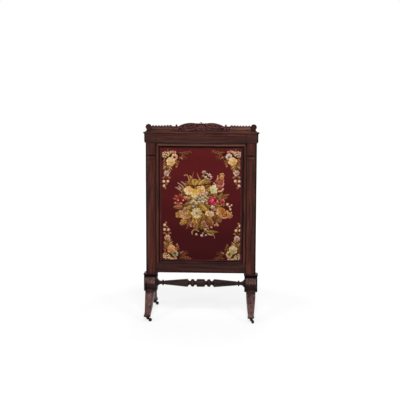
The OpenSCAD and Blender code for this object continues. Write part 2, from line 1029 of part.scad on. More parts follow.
module slide_top_rail() {
    color(rosewood_light)
        intersection() {
            translate([0, 0, sight_high])
                run_along_x(-band_x, band_x)
                    mirror([1, -1]) member_section(slide_top_z - sight_high, slide_front + 4);
            upright_sheet(-slide_t, slide_t)
                polygon([
                    [-sight_x, sight_high],
                    [sight_x, sight_high],
                    [band_x, sight_high + cove_w + band_w],
                    [band_x, slide_top_z],
                    [-band_x, slide_top_z],
                    [-band_x, sight_high + cove_w + band_w]
                ]);
        }
}

module slide_bottom_rail() {
    color(rosewood_light)
        intersection() {
            translate([0, 0, sight_low])
                mirror([0, 0, 1])
                    run_along_x(-band_x, band_x)
                        mirror([1, -1]) member_section(cove_w + band_w, slide_front);
            upright_sheet(-slide_t, slide_t)
                polygon([
                    [-sight_x, sight_low],
                    [sight_x, sight_low],
                    [band_x, slide_z],
                    [-band_x, slide_z]
                ]);
        }
}

// A flat rectangle round the cloth's sight, grown on every side
module panel_sheet(grow) {
    translate([-sight_x - grow, sight_low - grow])
        square([2 * (sight_x + grow), sight_high - sight_low + 2 * grow]);
}

module needlework() {
    color(crimson)
        upright_sheet(cloth_y, cloth_y + cloth_t) panel_sheet(cloth_lap);
}

module strainer() {
    middle = (sight_low + sight_high) / 2;
    color(pine)
        upright_sheet(cloth_y + cloth_t, cloth_y + cloth_t + strainer_t) {
            difference() {
                panel_sheet(cloth_lap);
                panel_sheet(cloth_lap - strainer_w);
            }
            translate([-sight_x, middle - strainer_w / 2])
                square([2 * sight_x, strainer_w]);
        }
}

module backing_cloth() {
    from = cloth_y + cloth_t + strainer_t;
    color(linen)
        upright_sheet(from, from + backing_t) panel_sheet(backing_lap);
}

module gimp_braid() {
    color(braid)
        upright_sheet(cloth_y - gimp_t, cloth_y)
            difference() {
                panel_sheet(-shoulder_gap);
                panel_sheet(-shoulder_gap - gimp_w);
            }
}

// A bowed steel strip between the tongue's edge and the bottom of its groove
module bow_spring(side) {
    strip_t = 0.6;
    chord = 60;
    above_foot = 70;
    bow = groove_d - (tongue_x - post_in) - seat_gap - strip_t;
    bow_r = (chord * chord / 4 + bow * bow) / (2 * bow);
    color(steel)
        on_side(side)
            translate([tongue_x, 0, slide_z + above_foot])
                upright_sheet(-tongue_t / 2 + run_gap, tongue_t / 2 - run_gap)
                    intersection() {
                        difference() {
                            translate([bow - bow_r, 0]) circle(r = bow_r + strip_t, $fn = 360);
                            translate([bow - bow_r, 0]) circle(r = bow_r, $fn = 360);
                        }
                        translate([0, -chord / 2]) square([groove_d, chord]);
                    }
}

module lift_knob(side) {
    knob_x = 100;
    color(brass)
        translate([side * knob_x, 0, slide_top_z])
            rotate_extrude() {
                square([6, 2]);
                square([3, 9]);
                intersection() {
                    translate([0, 11]) circle(r = 6.5);
                    translate([0, 6]) square([7, 10]);
                }
            }
}

module stop_block(side) {
    top = frieze_z - travel - seat_gap;
    high = 30;
    deep = 8;
    color(rosewood_dark)
        on_side(side)
            block(
                [sight_x + rebate_w + 2, slide_back, top - high],
                [shoulder_x - 1, slide_back + deep, top]
            );
}

// Casters

// Children are made round the swivel pin, with the trail along +X
module at_corner(corner) {
    translate([corner[0] * leg_x, corner[1] * foot_y, 0])
        rotate([0, 0, corner[2]])
            children();
}

module caster_plate(corner) {
    head_r = 4;
    head_h = 1.2;
    color(brass)
        at_corner(corner)
            union() {
                translate([0, 0, plate_z]) cylinder(r = plate_r, h = plate_t);
                translate([0, 0, boss_z - seat_gap - eps])
                    cylinder(r = pin_r, h = plate_z - boss_z + seat_gap + 2 * eps);
                translate([0, 0, boss_z - seat_gap - head_h]) cylinder(r = head_r, h = head_h);
                translate([0, 0, foot_z - eps]) cylinder(r = stem_r, h = stem_l);
            }
}

module caster_horn(corner) {
    eye_r = 3.6;
    web_z = 20;
    web_from = -3;
    web_to = 8;
    slope = 42;
    color(brass)
        at_corner(corner)
            difference() {
                union() {
                    translate([0, 0, boss_z]) cylinder(r = boss_r, h = horn_top - boss_z);
                    block([web_from, -cheek_y - cheek_t, web_z], [web_to, cheek_y + cheek_t, horn_top]);
                    for (y = [-cheek_y - cheek_t, cheek_y])
                        upright_sheet(y, y + cheek_t) {
                            translate([trail, axle_z]) circle(r = eye_r);
                            polygon([
                                [web_from, web_z],
                                [web_from, horn_top],
                                [web_to, horn_top],
                                [trail + eye_r * cos(slope), axle_z + eye_r * sin(slope)],
                                [trail - eye_r * cos(slope), axle_z - eye_r * sin(slope)]
                            ]);
                        }
                }
                translate([0, 0, boss_z - 1]) cylinder(r = pin_r + bearing_gap, h = horn_top);
                translate([trail, 0, axle_z])
                    rotate([90, 0, 0])
                        cylinder(r = axle_r + bearing_gap, h = 40, center = true);
            }
}

module caster_axle(corner) {
    half = cheek_y + cheek_t;
    head_t = 1;
    color(steel)
        at_corner(corner)
            translate([trail, 0, axle_z])
                rotate([90, 0, 0])
                    union() {
                        cylinder(r = axle_r, h = 2 * half, center = true);
                        for (end = [0, 1])
                            mirror([0, 0, end])
                                translate([0, 0, half]) cylinder(r = axle_r + 1, h = head_t);
                    }
}

module caster_wheel(corner) {
    round_r = 2;
    half = wheel_w / 2;
    dish_r = 1;
    dish_at = axle_r + 2.9;
    hub_in = axle_r + bearing_gap;
    color(brass)
        at_corner(corner)
            translate([trail, 0, axle_z])
                rotate([90, 0, 0])
                    rotate_extrude($fn = 96)
                        difference() {
                            union() {
                                translate([hub_in, -half])
                                    square([wheel_d / 2 - round_r - hub_in, wheel_w]);
                                translate([hub_in, -half + round_r])
                                    square([wheel_d / 2 - hub_in, wheel_w - 2 * round_r]);
                                for (end = [-1, 1])
                                    translate([wheel_d / 2 - round_r, end * (half - round_r)])
                                        circle(r = round_r);
                            }
                            // Dished sides
                            for (end = [-1, 1])
                                translate([dish_at, end * half]) circle(r = dish_r);
                        }
}

upright(-1);  // upright_left
upright(1);  // upright_right
pilaster(-1);  // pilaster_left
pilaster(1);  // pilaster_right
side_cap(-1);  // side_cap_left
side_cap(1);  // side_cap_right
end_block(-1);  // end_block_left
end_block(1);  // end_block_right
frieze_front();
frieze_back();
cornice();
crest_board();
roundel(-1);  // roundel_left
roundel(1);  // roundel_right
crest_shell();
crest_scroll(-1);  // crest_scroll_left
crest_scroll(1);  // crest_scroll_right
bottom_rail();
base_block(-1);  // base_block_left
base_block(1);  // base_block_right
collar(-1);  // collar_left
collar(1);  // collar_right
leg(-1, -1);  // leg_front_left
leg(1, -1);  // leg_front_right
leg(-1, 1);  // leg_rear_left
leg(1, 1);  // leg_rear_right
stretcher();
slide_stile(-1);  // slide_stile_left
slide_stile(1);  // slide_stile_right
slide_top_rail();
slide_bottom_rail();
strainer();
needlework();
gimp_braid();
backing_cloth();
bow_spring(-1);  // bow_spring_left
bow_spring(1);  // bow_spring_right
lift_knob(-1);  // lift_knob_left
lift_knob(1);  // lift_knob_right
stop_block(-1);  // stop_block_left
stop_block(1);  // stop_block_right
caster_plate(CORNERS[0]);  // caster_plate_front_left
caster_horn(CORNERS[0]);  // caster_horn_front_left
caster_axle(CORNERS[0]);  // caster_axle_front_left
caster_wheel(CORNERS[0]);  // caster_wheel_front_left
caster_plate(CORNERS[1]);  // caster_plate_front_right
caster_horn(CORNERS[1]);  // caster_horn_front_right
caster_axle(CORNERS[1]);  // caster_axle_front_right
caster_wheel(CORNERS[1]);  // caster_wheel_front_right
caster_plate(CORNERS[2]);  // caster_plate_rear_left
caster_horn(CORNERS[2]);  // caster_horn_rear_left
caster_axle(CORNERS[2]);  // caster_axle_rear_left
caster_wheel(CORNERS[2]);  // caster_wheel_rear_left
caster_plate(CORNERS[3]);  // caster_plate_rear_right
caster_horn(CORNERS[3]);  // caster_horn_rear_right
caster_axle(CORNERS[3]);  // caster_axle_rear_right
caster_wheel(CORNERS[3]);  // caster_wheel_rear_right
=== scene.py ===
import math
from functools import partial

import bpy
import numpy as np
from mathutils import Matrix, Vector


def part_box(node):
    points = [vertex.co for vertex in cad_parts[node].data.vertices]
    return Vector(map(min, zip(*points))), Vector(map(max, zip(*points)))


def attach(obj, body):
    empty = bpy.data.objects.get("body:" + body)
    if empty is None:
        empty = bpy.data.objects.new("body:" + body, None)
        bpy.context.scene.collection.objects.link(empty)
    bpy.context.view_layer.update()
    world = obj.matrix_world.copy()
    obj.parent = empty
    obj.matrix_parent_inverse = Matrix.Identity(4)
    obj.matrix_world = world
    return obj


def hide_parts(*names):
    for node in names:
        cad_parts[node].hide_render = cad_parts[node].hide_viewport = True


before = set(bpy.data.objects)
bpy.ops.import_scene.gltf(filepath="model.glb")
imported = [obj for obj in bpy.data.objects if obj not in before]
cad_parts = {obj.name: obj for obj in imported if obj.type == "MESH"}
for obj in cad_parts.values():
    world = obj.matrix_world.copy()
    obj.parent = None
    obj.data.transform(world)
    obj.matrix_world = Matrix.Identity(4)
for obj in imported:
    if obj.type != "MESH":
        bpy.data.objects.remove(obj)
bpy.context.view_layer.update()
mm = 0.001

# Camera: in front and a little to the right, tilted down, with a long lens

camera = {
    "distance": 5.026,      # metres from the middle of the screen
    "round": 2.716,         # degrees to the right
    "height": 1.2458,       # metres
    "down": 6.583,          # degrees
    "roll": 0.195,          # degrees
    "focal": 880.5,         # pixels, on a picture 400 wide
    "aside": 1.06,          # pixels that the middle lies to the right
    "picture": 400,
}


def makeCamera():
    c = camera
    turn, down, roll = (math.radians(c[k]) for k in ("round", "down", "roll"))
    right = Vector((math.cos(turn), math.sin(turn), 0))
    ahead = Vector((-math.sin(turn) * math.cos(down), math.cos(turn) * math.cos(down), -math.sin(down)))
    up = right.cross(ahead)
    tiltedRight = right * math.cos(roll) + up * math.sin(roll)
    tiltedUp = up * math.cos(roll) - right * math.sin(roll)
    data = bpy.data.cameras.new("camera")
    data.sensor_width = 36
    data.lens = c["focal"] / c["picture"] * data.sensor_width
    data.shift_x = -c["aside"] / c["picture"]
    data.clip_start, data.clip_end = 0.1, 60
    obj = bpy.data.objects.new("camera", data)
    obj.matrix_world = Matrix((tiltedRight, tiltedUp, -ahead)).transposed().to_4x4()
    obj.location = (c["distance"] * math.sin(turn), -c["distance"] * math.cos(turn), c["height"])
    bpy.context.scene.collection.objects.link(obj)
    bpy.context.scene.camera = obj


makeCamera()
print("camera placed")

# Small tools for node trees and meshes


def linear(hexColour):
    out = []
    for i in (1, 3, 5):
        c = int(hexColour[i:i + 2], 16) / 255
        out.append(c / 12.92 if c <= 0.04045 else ((c + 0.055) / 1.055) ** 2.4)
    return (*out, 1.0)


def addNode(tree, kind, inputs=None, **settings):
    # Each input takes a value, a socket, or a node whose first output it is linked to
    node = tree.nodes.new("ShaderNode" + kind)
    for key, value in settings.items():
        setattr(node, key, value)
    for key, value in (inputs or {}).items():
        if isinstance(value, bpy.types.Node):
            value = value.outputs[0]
        if isinstance(value, bpy.types.NodeSocket):
            tree.links.new(value, node.inputs[key])
        else:
            node.inputs[key].default_value = value
    return node


def setRamp(node, stops):
    elements = node.color_ramp.elements
    while len(elements) < len(stops):
        elements.new(0.5)
    for element, (at, hexColour) in zip(elements, stops):
        element.position = at
        element.color = linear(hexColour)
    return node


def startMaterial(name):
    # The material, the function that adds a node to it and the place on the object in metres
    material = bpy.data.materials.new(name)
    material.use_nodes = True
    material.node_tree.nodes.clear()
    add = partial(addNode, material.node_tree)
    return material, add, add("TexCoord").outputs["Object"]


def endMaterial(material, add, inputs):
    add("OutputMaterial", {"Surface": add("BsdfPrincipled", inputs)})
    return material


def heading(aim):
    return math.cos(math.radians(aim)), math.sin(math.radians(aim))


def gridFaces(rows, columns, loop=False, tube=False):
    # Faces between rows of points. A loop joins the last row to the first, a tube the last
    # column to the first.
    i, j = np.meshgrid(np.arange(rows - (not loop)), np.arange(columns - (not tube)), indexing="ij")
    start, end = i * columns, (i + 1) % rows * columns
    beside = (j + 1) % columns
    return np.stack([start + j, start + beside, end + beside, end + j], -1).reshape(-1, 4)


def meshPiece(name, points, faces, material, body):
    mesh = bpy.data.meshes.new(name)
    mesh.from_pydata([tuple(p) for p in points], [], [tuple(f) for f in faces])
    mesh.validate()
    mesh.polygons.foreach_set("use_smooth", [True] * len(mesh.polygons))
    mesh.materials.append(material)
    obj = bpy.data.objects.new(name, mesh)
    bpy.context.scene.collection.objects.link(obj)
    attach(obj, body)
    return obj


# Rosewood, French polished by hand over a close grain: dark bands along the
# grain, a soft satin shine that breaks up where the polish has thinned

rosewood = {
    "band": 7.0,            # mm between dark bands of the figure
    "pore": 0.9,            # mm across the open pores, drawn coarse enough to show
    "stretch": 16,          # how much longer the figure is along the grain
    "roughness": (0.32, 0.48),
    "shine": 0.1,
    "poreDepth": 0.12,      # mm
    "cloud": 71.43,         # mm across the paler and darker patches
    "wear": 33.33,          # mm across the places where the polish has thinned
    "stops": (0.30, 0.44, 0.56, 0.72),      # where a wood's four tones lie in its figure
    "poreTone": "#180c0a",
    "cornerShadeAndDust": "#120807",
    "shadeAndDirt": "#0b0706",
    "shadeAndDirtRoughness": 0.95,
    "hollowShadeAndDirt": (0.32, 0.33, 0.39, 1),   # how a carving's hollows, with painted shade and dirt, and its ridges, with a painted highlight and wear, change red, green and blue
    "ridgeHighlightAndWear": (1.72, 2.1, 2.8, 1),      # change red, green and blue
}


def frenchPolishedRosewood(name, along, tones, shift=0.0, bend=0.6, shadeAndDirtBands=(), carved=False, cornerShadeAndDustReach=5.0):
    # The bands across an axis in which the wood is darkened and made matt: painted shade under
    # mouldings and in hollows and quirks, and a darkening near the floor and at the crest's ends; for each
    # the middle, half the width and the soft edge in mm, and how dark it goes.
    # How many mm from a corner the painted shade and dust of the ambient occlusion darkening reach
    r = rosewood
    material, add, place = startMaterial(name)
    squeeze = [1 / r["stretch"] if axis == along else 1.0 for axis in range(3)]
    grain = add("Mapping", {"Vector": place, "Scale": squeeze, "Location": (shift, shift * 2, shift * 3)})
    figure = add("TexNoise", {"Vector": grain, "Scale": 1 / (r["band"] * 2 * mm), "Detail": 7.0,
                              "Roughness": 0.62, "Distortion": bend})
    cloud = add("TexNoise", {"Vector": grain, "Scale": 1 / (r["cloud"] * mm), "Detail": 3.0})
    blend = add("Math", {0: cloud, 1: 0.45, 2: -0.22}, operation="MULTIPLY_ADD")
    mixed = add("Math", {0: figure, 1: blend}, operation="ADD")
    wood = setRamp(add("ValToRGB", {0: mixed}), list(zip(r["stops"], tones)))
    pores = add("TexNoise", {"Vector": grain, "Scale": 1 / (r["pore"] * mm), "Detail": 2.0})
    poreMask = add("MapRange", {0: pores, "From Min": 0.56, "From Max": 0.70, "To Max": 0.6})
    colour = add("Mix", {0: poreMask, 6: wood, 7: linear(r["poreTone"])}, data_type="RGBA").outputs[2]
    # Painted shade and dust in corners and creases, where ambient occlusion finds them
    corner = add("AmbientOcclusion", {"Distance": cornerShadeAndDustReach * mm}, samples=6).outputs["AO"]
    cornerShadeAndDust = add("MapRange", {0: corner, "From Min": 0.25, "From Max": 0.85, "To Min": 0.65, "To Max": 0.0})
    colour = add("Mix", {0: cornerShadeAndDust, 6: colour, 7: linear(r["cornerShadeAndDust"])}, data_type="RGBA").outputs[2]
    wear = add("TexNoise", {"Vector": place, "Scale": 1 / (r["wear"] * mm), "Detail": 5.0})
    rough = add("MapRange", {0: wear, "From Min": 0.35, "From Max": 0.65, "To Min": r["roughness"][0],
                             "To Max": r["roughness"][1]})
    # Each band darkens the wood and makes it matt: painted shade in most, a darkening near the floor and at
    # the crest's ends in the others
    for axis, centre, half, soft, share in shadeAndDirtBands:
        parts = add("SeparateXYZ", {0: place})
        far = add("Math", {0: parts.outputs[axis]}, operation="ABSOLUTE")
        off = add("Math", {0: far, 1: centre * mm}, operation="SUBTRACT")
        away = add("Math", {0: off}, operation="ABSOLUTE")
        ragged = add("Math", {0: cloud, 1: 2 * soft * mm, 2: away}, operation="MULTIPLY_ADD")
        darkBand = add("MapRange", {0: ragged, "From Min": half * mm, "From Max": (half + 2 * soft) * mm,
                                "To Min": share, "To Max": 0.0})
        colour = add("Mix", {0: darkBand, 6: colour, 7: linear(r["shadeAndDirt"])}, data_type="RGBA").outputs[2]
        rough = add("Mix", {0: darkBand, 2: rough, 3: r["shadeAndDirtRoughness"]})
    if carved:
        # Painted shade in the hollows and a greyer, bluer painted highlight on the ridges, with dirt and
        # wear
        cut = add("Attribute", attribute_name="ridgeHighlightHollowShade").outputs["Fac"]
        lit = add("Mix", {0: cut, 6: r["hollowShadeAndDirt"], 7: r["ridgeHighlightAndWear"]}, data_type="RGBA").outputs[2]
        colour = add("Mix", {0: 1.0, 6: colour, 7: lit}, data_type="RGBA", blend_type="MULTIPLY").outputs[2]
    bump = add("Bump", {"Height": poreMask, "Strength": 0.5, "Distance": r["poreDepth"] * mm}, invert=True)
    return endMaterial(material, add, {"Base Color": colour, "Roughness": rough, "Normal": bump,
                                       "Specular IOR Level": r["shine"], "IOR": 1.5})


redTones = ("#200f0d", "#41211c", "#582b22", "#6c3e30")
darkTones = ("#180c0b", "#2e1916", "#422420", "#54322a")
nightTones = ("#110a0a", "#221716", "#33221f", "#463330")
# Lighter tones that paint light onto the slide's top band
paintedLightTones = ("#2c1815", "#513029", "#6b4336", "#80574a")
crestTones = ("#271514", "#4c2f2a", "#633e35", "#785348")
legTones = ("#2b1c1c", "#523734", "#6d4f4a", "#83635b")
woods = {use: frenchPolishedRosewood(*rest) for use, *rest in (
    # use, name, axis of the grain, tones, shift, bend, bands of painted shade and darkening, carved,
    # reach of corner shade and dust
    # painted shade along the outer 8 mm of each upright's front
    ("uprights", "rosewoodStandingGrain", 2, redTones, 0.11, 0.6, [("X", 330, 21, 0.6, 0.8)]),
    # painted shade in the upper half of the necking's hollow
    ("pilasters", "rosewoodPilasterVeneer", 2, redTones, 0.37, 1.2, [("Z", 919, 4.5, 0.5, 0.6)]),
    # painted shade: a dark line in the quirk of the slide stiles' cove
    ("stiles", "rosewoodFrameGrain", 2, redTones, 0.05, 0.6, [("X", 240.3, 3.0, 0.6, 0.97)]),
    ("bands", "rosewoodLyingGrain", 0, redTones, 0.53),
    # painted light: lighter tones on the band under the frieze; painted shadow: a dark line in its cove
    # over the cloth
    ("topBand", "rosewoodLitBand", 0, paintedLightTones, 0.61, 0.6, [("Z", 971.5, 5.2, 0.6, 0.97)]),
    # painted shade: a dark line where the cloth meets the slide's bottom rail
    ("lowBand", "rosewoodLowBand", 0, darkTones, 0.57, 0.6, [("Z", 309.5, 3.0, 0.6, 0.95)]),
    ("friezes", "rosewoodFriezeVeneer", 0, darkTones, 0.47, 1.0),
    ("rails", "rosewoodDarkLyingGrain", 0, darkTones, 0.71),
    # painted shade: a dark band on the blocks just under the collars
    ("blocks", "rosewoodSoiledBlocks", 2, nightTones, 0.83, 0.6, [("Z", 226, 6.0, 0.5, 0.95)]),
    # painted shade on the collars' lower edge, with a shorter reach of corner shade and dust
    ("collars", "rosewoodCollars", 0, darkTones, 0.79, 0.6, [("Z", 231.5, 4.6, 0.5, 0.95)], False, 2.0),
    ("turning", "rosewoodTurnedStretcher", 0, nightTones, 0.67),
    ("crest", "rosewoodCrestBoard", 0, crestTones, 0.19, 0.9, [("X", 330, 47, 1.2, 0.55)]),
    ("carving", "rosewoodCarvedCrest", 0, redTones, 0.43, 0.9, (), True),
    # painted shade on the under half of each leg's roll, and a darkening near the floor
    ("legs", "rosewoodSweptLegs", 2, legTones, 0.29, 0.8,
     [("Z", 165, 28, 4.0, 0.72), ("Z", 20, 14, 6.0, 0.5)]),
)}
print("rosewood made")

# Old lacquered brass, cast then filed: brown tarnish with brighter rubbed spots.
# On the casters it has gone nearly black.

castBrass = {
    "blotch": 6.25,         # mm across the spots of tarnish
    "grit": 0.5556,         # mm across the grain of the casting, drawn coarse enough to show
    "gritDepth": 0.08,      # mm
    "roughness": (0.6, 0.34),       # of the tarnish and of the rubbed spots
}


def agedBrass(name, tones):
    b = castBrass
    material, add, place = startMaterial(name)
    blotch = add("TexNoise", {"Vector": place, "Scale": 1 / (b["blotch"] * mm), "Detail": 6.0})
    colour = setRamp(add("ValToRGB", {0: blotch}), list(zip((0.32, 0.5, 0.68), tones)))
    rough = add("MapRange", {0: blotch, "From Min": 0.35, "From Max": 0.65, "To Min": b["roughness"][0],
                             "To Max": b["roughness"][1]})
    grit = add("TexNoise", {"Vector": place, "Scale": 1 / (b["grit"] * mm), "Detail": 3.0})
    bump = add("Bump", {"Height": grit, "Strength": 0.3, "Distance": b["gritDepth"] * mm})
    return endMaterial(material, add, {"Metallic": 1.0, "Base Color": colour, "Roughness": rough,
                                       "Normal": bump})


# Spring steel, rolled and blued: grey with fine lines from the rolls

springSteel = {"rollLine": 0.4, "stretch": 0.03}       # mm across a line, and its width by its length


def rolledSteel(name):
    s = springSteel
    material, add, place = startMaterial(name)
    lines = add("Mapping", {"Vector": place, "Scale": (1, 1, s["stretch"])})
    streak = add("TexNoise", {"Vector": lines, "Scale": 1 / (s["rollLine"] * mm), "Detail": 2.0})
    colour = setRamp(add("ValToRGB", {0: streak}), [(0.35, "#3d3f42"), (0.65, "#6d6f72")])
    return endMaterial(material, add, {"Metallic": 1.0, "Roughness": 0.38, "Base Color": colour})


# Deal, planed and left bare: pale, with brown lines of late wood

bareDeal = {"ring": 9.091, "stretch": 0.06}     # mm from ring to ring, and a ring's width by its length


def planedDeal(name):
    d = bareDeal
    material, add, place = startMaterial(name)
    grain = add("Mapping", {"Vector": place, "Scale": (1, 1, d["stretch"])})
    rings = add("TexNoise", {"Vector": grain, "Scale": 1 / (d["ring"] * mm), "Detail": 5.0,
                             "Distortion": 0.5})
    colour = setRamp(add("ValToRGB", {0: rings}), [(0.35, "#7c5c38"), (0.5, "#a98a5c"), (0.65, "#bfa377")])
    return endMaterial(material, add, {"Roughness": 0.75, "Specular IOR Level": 0.3, "Base Color": colour})


brass = agedBrass("castBrassTarnished", ("#2b2013", "#5a452a", "#8f7243"))
blackBrass = agedBrass("castBrassBlackened", ("#0b0908", "#1b1510", "#3f301d"))
steel = rolledSteel("springSteelRolled")
deal = planedDeal("dealPlaned")
print("metals and deal made")

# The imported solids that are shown: a material each, and edges eased as a
# cabinet maker's glasspaper leaves them

easedEdge = {"radius": 0.7, "angle": 38, "weld": 0.01}      # mm, degrees, mm

dressed = {
    "upright": woods["uprights"], "pilaster": woods["pilasters"], "side_cap": woods["blocks"],
    "end_block": woods["friezes"], "frieze": woods["friezes"], "cornice": woods["bands"],
    "crest": woods["crest"], "roundel": woods["friezes"], "bottom_rail": woods["rails"],
    "base_block": woods["blocks"], "collar": woods["collars"], "leg": woods["legs"],
    "stretcher": woods["turning"], "slide_stile": woods["stiles"],
    "slide_top_rail": woods["topBand"], "slide_bottom_rail": woods["lowBand"],
    "strainer": deal, "bow_spring": steel, "lift_knob": brass, "stop_block": woods["blocks"],
    "caster_plate": blackBrass, "caster_horn": blackBrass, "caster_axle": steel, "caster_wheel": blackBrass,
}


def easeEdges(obj):
    e = easedEdge
    obj.data.polygons.foreach_set("use_smooth", [True] * len(obj.data.polygons))
    weld = obj.modifiers.new("weld", "WELD")
    weld.merge_threshold = e["weld"] * mm
    bevel = obj.modifiers.new("easedEdges", "BEVEL")
    bevel.width = e["radius"] * mm
    bevel.segments = 2
    bevel.limit_method = "ANGLE"
    bevel.angle_limit = math.radians(e["angle"])
    bevel.harden_normals = False
    normals = obj.modifiers.new("flatFaces", "WEIGHTED_NORMAL")
    normals.keep_sharp = False


def dressNodes():
    for name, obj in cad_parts.items():
        kind = next((k for k in dressed if name.startswith(k)), None)
        if kind is None:
            continue
        obj.data.materials.clear()
        obj.data.materials.append(dressed[kind])
        easeEdges(obj)


dressNodes()
print("packed solids dressed")

# Carved cresting: a palmette between two C-scrolls with leaves, cut with
# gouges from the board. One mesh whose height is worked out over the board.

crest = {
    "grid": 0.7,            # mm from point to point
    "deep": 0.35,           # mm that the matted ground stands over the board
    "hump": (58, -88, 140), # mm: each hump's middle, its centre over the frieze, its radius
    "middle": (36, 48.5),   # mm: half width and height of the step between the humps
    "dip": 33.0,            # mm: height of the board beside the humps
    "foot": 3.6,            # mm: where the carving begins over the frieze
    "half": 163.0,          # mm: how far it goes to each side
    "margin": 1.6,          # mm of plain edge
    "bold": 1.3,            # how much higher the forms stand than they are drawn
    "hollow": 27,           # points across over which a place counts as a ridge or a hollow
    "hollowShadeRidgeHighlight": (0.42, 2.6),     # painted light of level ground, and mm of height from shaded hollow to highlit ridge
    "matting": 0.22,        # mm that the punched ground is rough
    "ends": 6,              # mm over which the carving dies away at its ends
    "rise": 3,              # mm over which it rises from the plain edge
    "behind": 0.5,          # mm that its back lies within the board
}


class Relief:
    # Heights over a grid; a tool cut adds a form where it stands higher than what is there
    def __init__(self, low, high, foot, top, step):
        self.x, self.z = np.meshgrid(np.arange(low, high + step, step), np.arange(foot, top, step))
        self.h = np.zeros(self.x.shape)

    def lift(self, form):
        self.h = np.maximum(self.h, form)

    def dome(self, x, z, r, h):
        far = np.hypot(self.x - x, self.z - z) / r
        self.lift(h * np.sqrt(np.clip(1 - far ** 2, 0, 1)))

    def ring(self, x, z, r, half, h):
        off = (np.hypot(self.x - x, self.z - z) - r) / half
        self.lift(h * np.sqrt(np.clip(1 - off ** 2, 0, 1)))

    def petal(self, x, z, aim, length, wide, h, groove=0.35, bend=0.0):
        # A leaf or petal: round in section, hollowed along its middle, highest near its tip
        c, s = heading(aim)
        dx, dz = self.x - x, self.z - z
        t = (dx * c + dz * s) / length
        aside = np.abs(dz * c - dx * s - bend * length * np.clip(t, 0, 1) ** 2)
        half = wide / 2 * np.sqrt(np.clip(1 - (2 * np.clip(t, 0, 1) ** 0.8 - 1) ** 2, 0, 1)) + 1e-6
        off = np.clip(aside / half, 0, 1)
        body = np.sqrt(1 - off ** 2) * (1 - groove * np.exp(-(aside / (0.18 * wide)) ** 2))
        inside = (t > 0) & (t < 1) & (aside < half)
        self.lift(np.where(inside, h * body * (0.45 + 0.55 * np.clip(t, 0, 1)), 0))

    def scroll(self, x, z, r, start, turn, half, h, shrink=0.6):
        # A ridge along a spiral, thinner and higher towards its eye
        steps = 70
        away = np.full(self.x.shape, 1e9)
        along = np.zeros(self.x.shape)
        for i in range(steps):
            f = i / (steps - 1)
            a, rr = math.radians(start + turn * f), r * (1 - shrink * f)
            d = np.hypot(self.x - x - rr * math.cos(a), self.z - z - rr * math.sin(a))
            along = np.where(d < away, f, along)
            away = np.minimum(away, d)
        off = away / (half * (1 - 0.35 * along))
        ridge = np.sqrt(np.clip(1 - off ** 2, 0, 1)) * (1 - 0.3 * np.exp(-(off / 0.3) ** 2))
        self.lift(h * (0.8 + 0.3 * along) * ridge)


def crestTop(x):
    c = crest
    middle, centre, r = c["hump"]
    arch = centre + np.sqrt(np.clip(r ** 2 - (np.abs(x) - middle) ** 2, 0, None))
    arch = np.maximum(arch, np.where(np.abs(x) < c["middle"][0], c["middle"][1], 0))
    return np.maximum(arch, c["dip"])


def carveCrest(relief):
    for aim, length, wide in ((90, 37, 9), (68, 36, 9), (112, 36, 9), (47, 34, 9), (133, 34, 9),
                              (27, 31, 8.5), (153, 31, 8.5), (8, 26, 8), (172, 26, 8)):
        relief.petal(0, 9.5, aim, length, wide, 5.2)
    relief.dome(0, 9.5, 6, 5.6)
    relief.ring(0, 9.5, 8.5, 1.5, 3.6)
    for side in (-1, 1):
        def aimed(aim):
            return aim if side > 0 else 180 - aim
        for x, z, r, start, turn, half, h in ((117, 10, 20, -8, 395, 3.6, 4.6),
                                              (33, 39, 6.5, 190, -330, 1.9, 3.6),
                                              (76, 37, 5.5, 200, -320, 1.7, 3.0)):
            relief.scroll(side * x, z, r, aimed(start), turn * side, half, h)
        for x, z, r, h in ((117, 10, 4, 5.0), (139, 6, 4.2, 4.4), (90, 27, 4.6, 4.8), (60, 41, 3.4, 3.4),
                           (46, 44, 3.4, 3.4), (24, 44, 4.2, 4.0), (11, 46, 3.2, 3.6)):
            relief.dome(side * x, z, r, h)
        for x, z, aim, length, wide, h, groove, bend in (
                (136, 10, 75, 17, 8, 3.8, 0.35, 0), (137, 14, 18, 22, 9, 3.6, 0.35, 0),
                (150, 8, 8, 12, 7, 2.6, 0.35, 0), (97, 8, 168, 36, 11, 4.4, 0.4, 0.10),
                (98, 14, 146, 32, 11, 4.8, 0.4, 0.10), (100, 20, 124, 24, 10, 4.6, 0.4, 0),
                (66, 12, 172, 32, 9, 4.0, 0.4, -0.08), (70, 20, 150, 34, 11, 4.6, 0.4, 0.06),
                (74, 28, 128, 22, 10, 4.2, 0.4, 0), (46, 25, 138, 26, 9, 4.4, 0.4, 0),
                (44, 20, 165, 22, 8, 3.6, 0.4, 0)):
            relief.petal(side * x, z, aimed(aim), length, wide, h, groove, bend * side)


def softened(h, width):
    # Each height averaged with its neighbours
    box = np.ones(width) / width
    for axis in (0, 1):
        h = np.apply_along_axis(lambda line: np.convolve(line, box, "same"), axis, h)
    return h


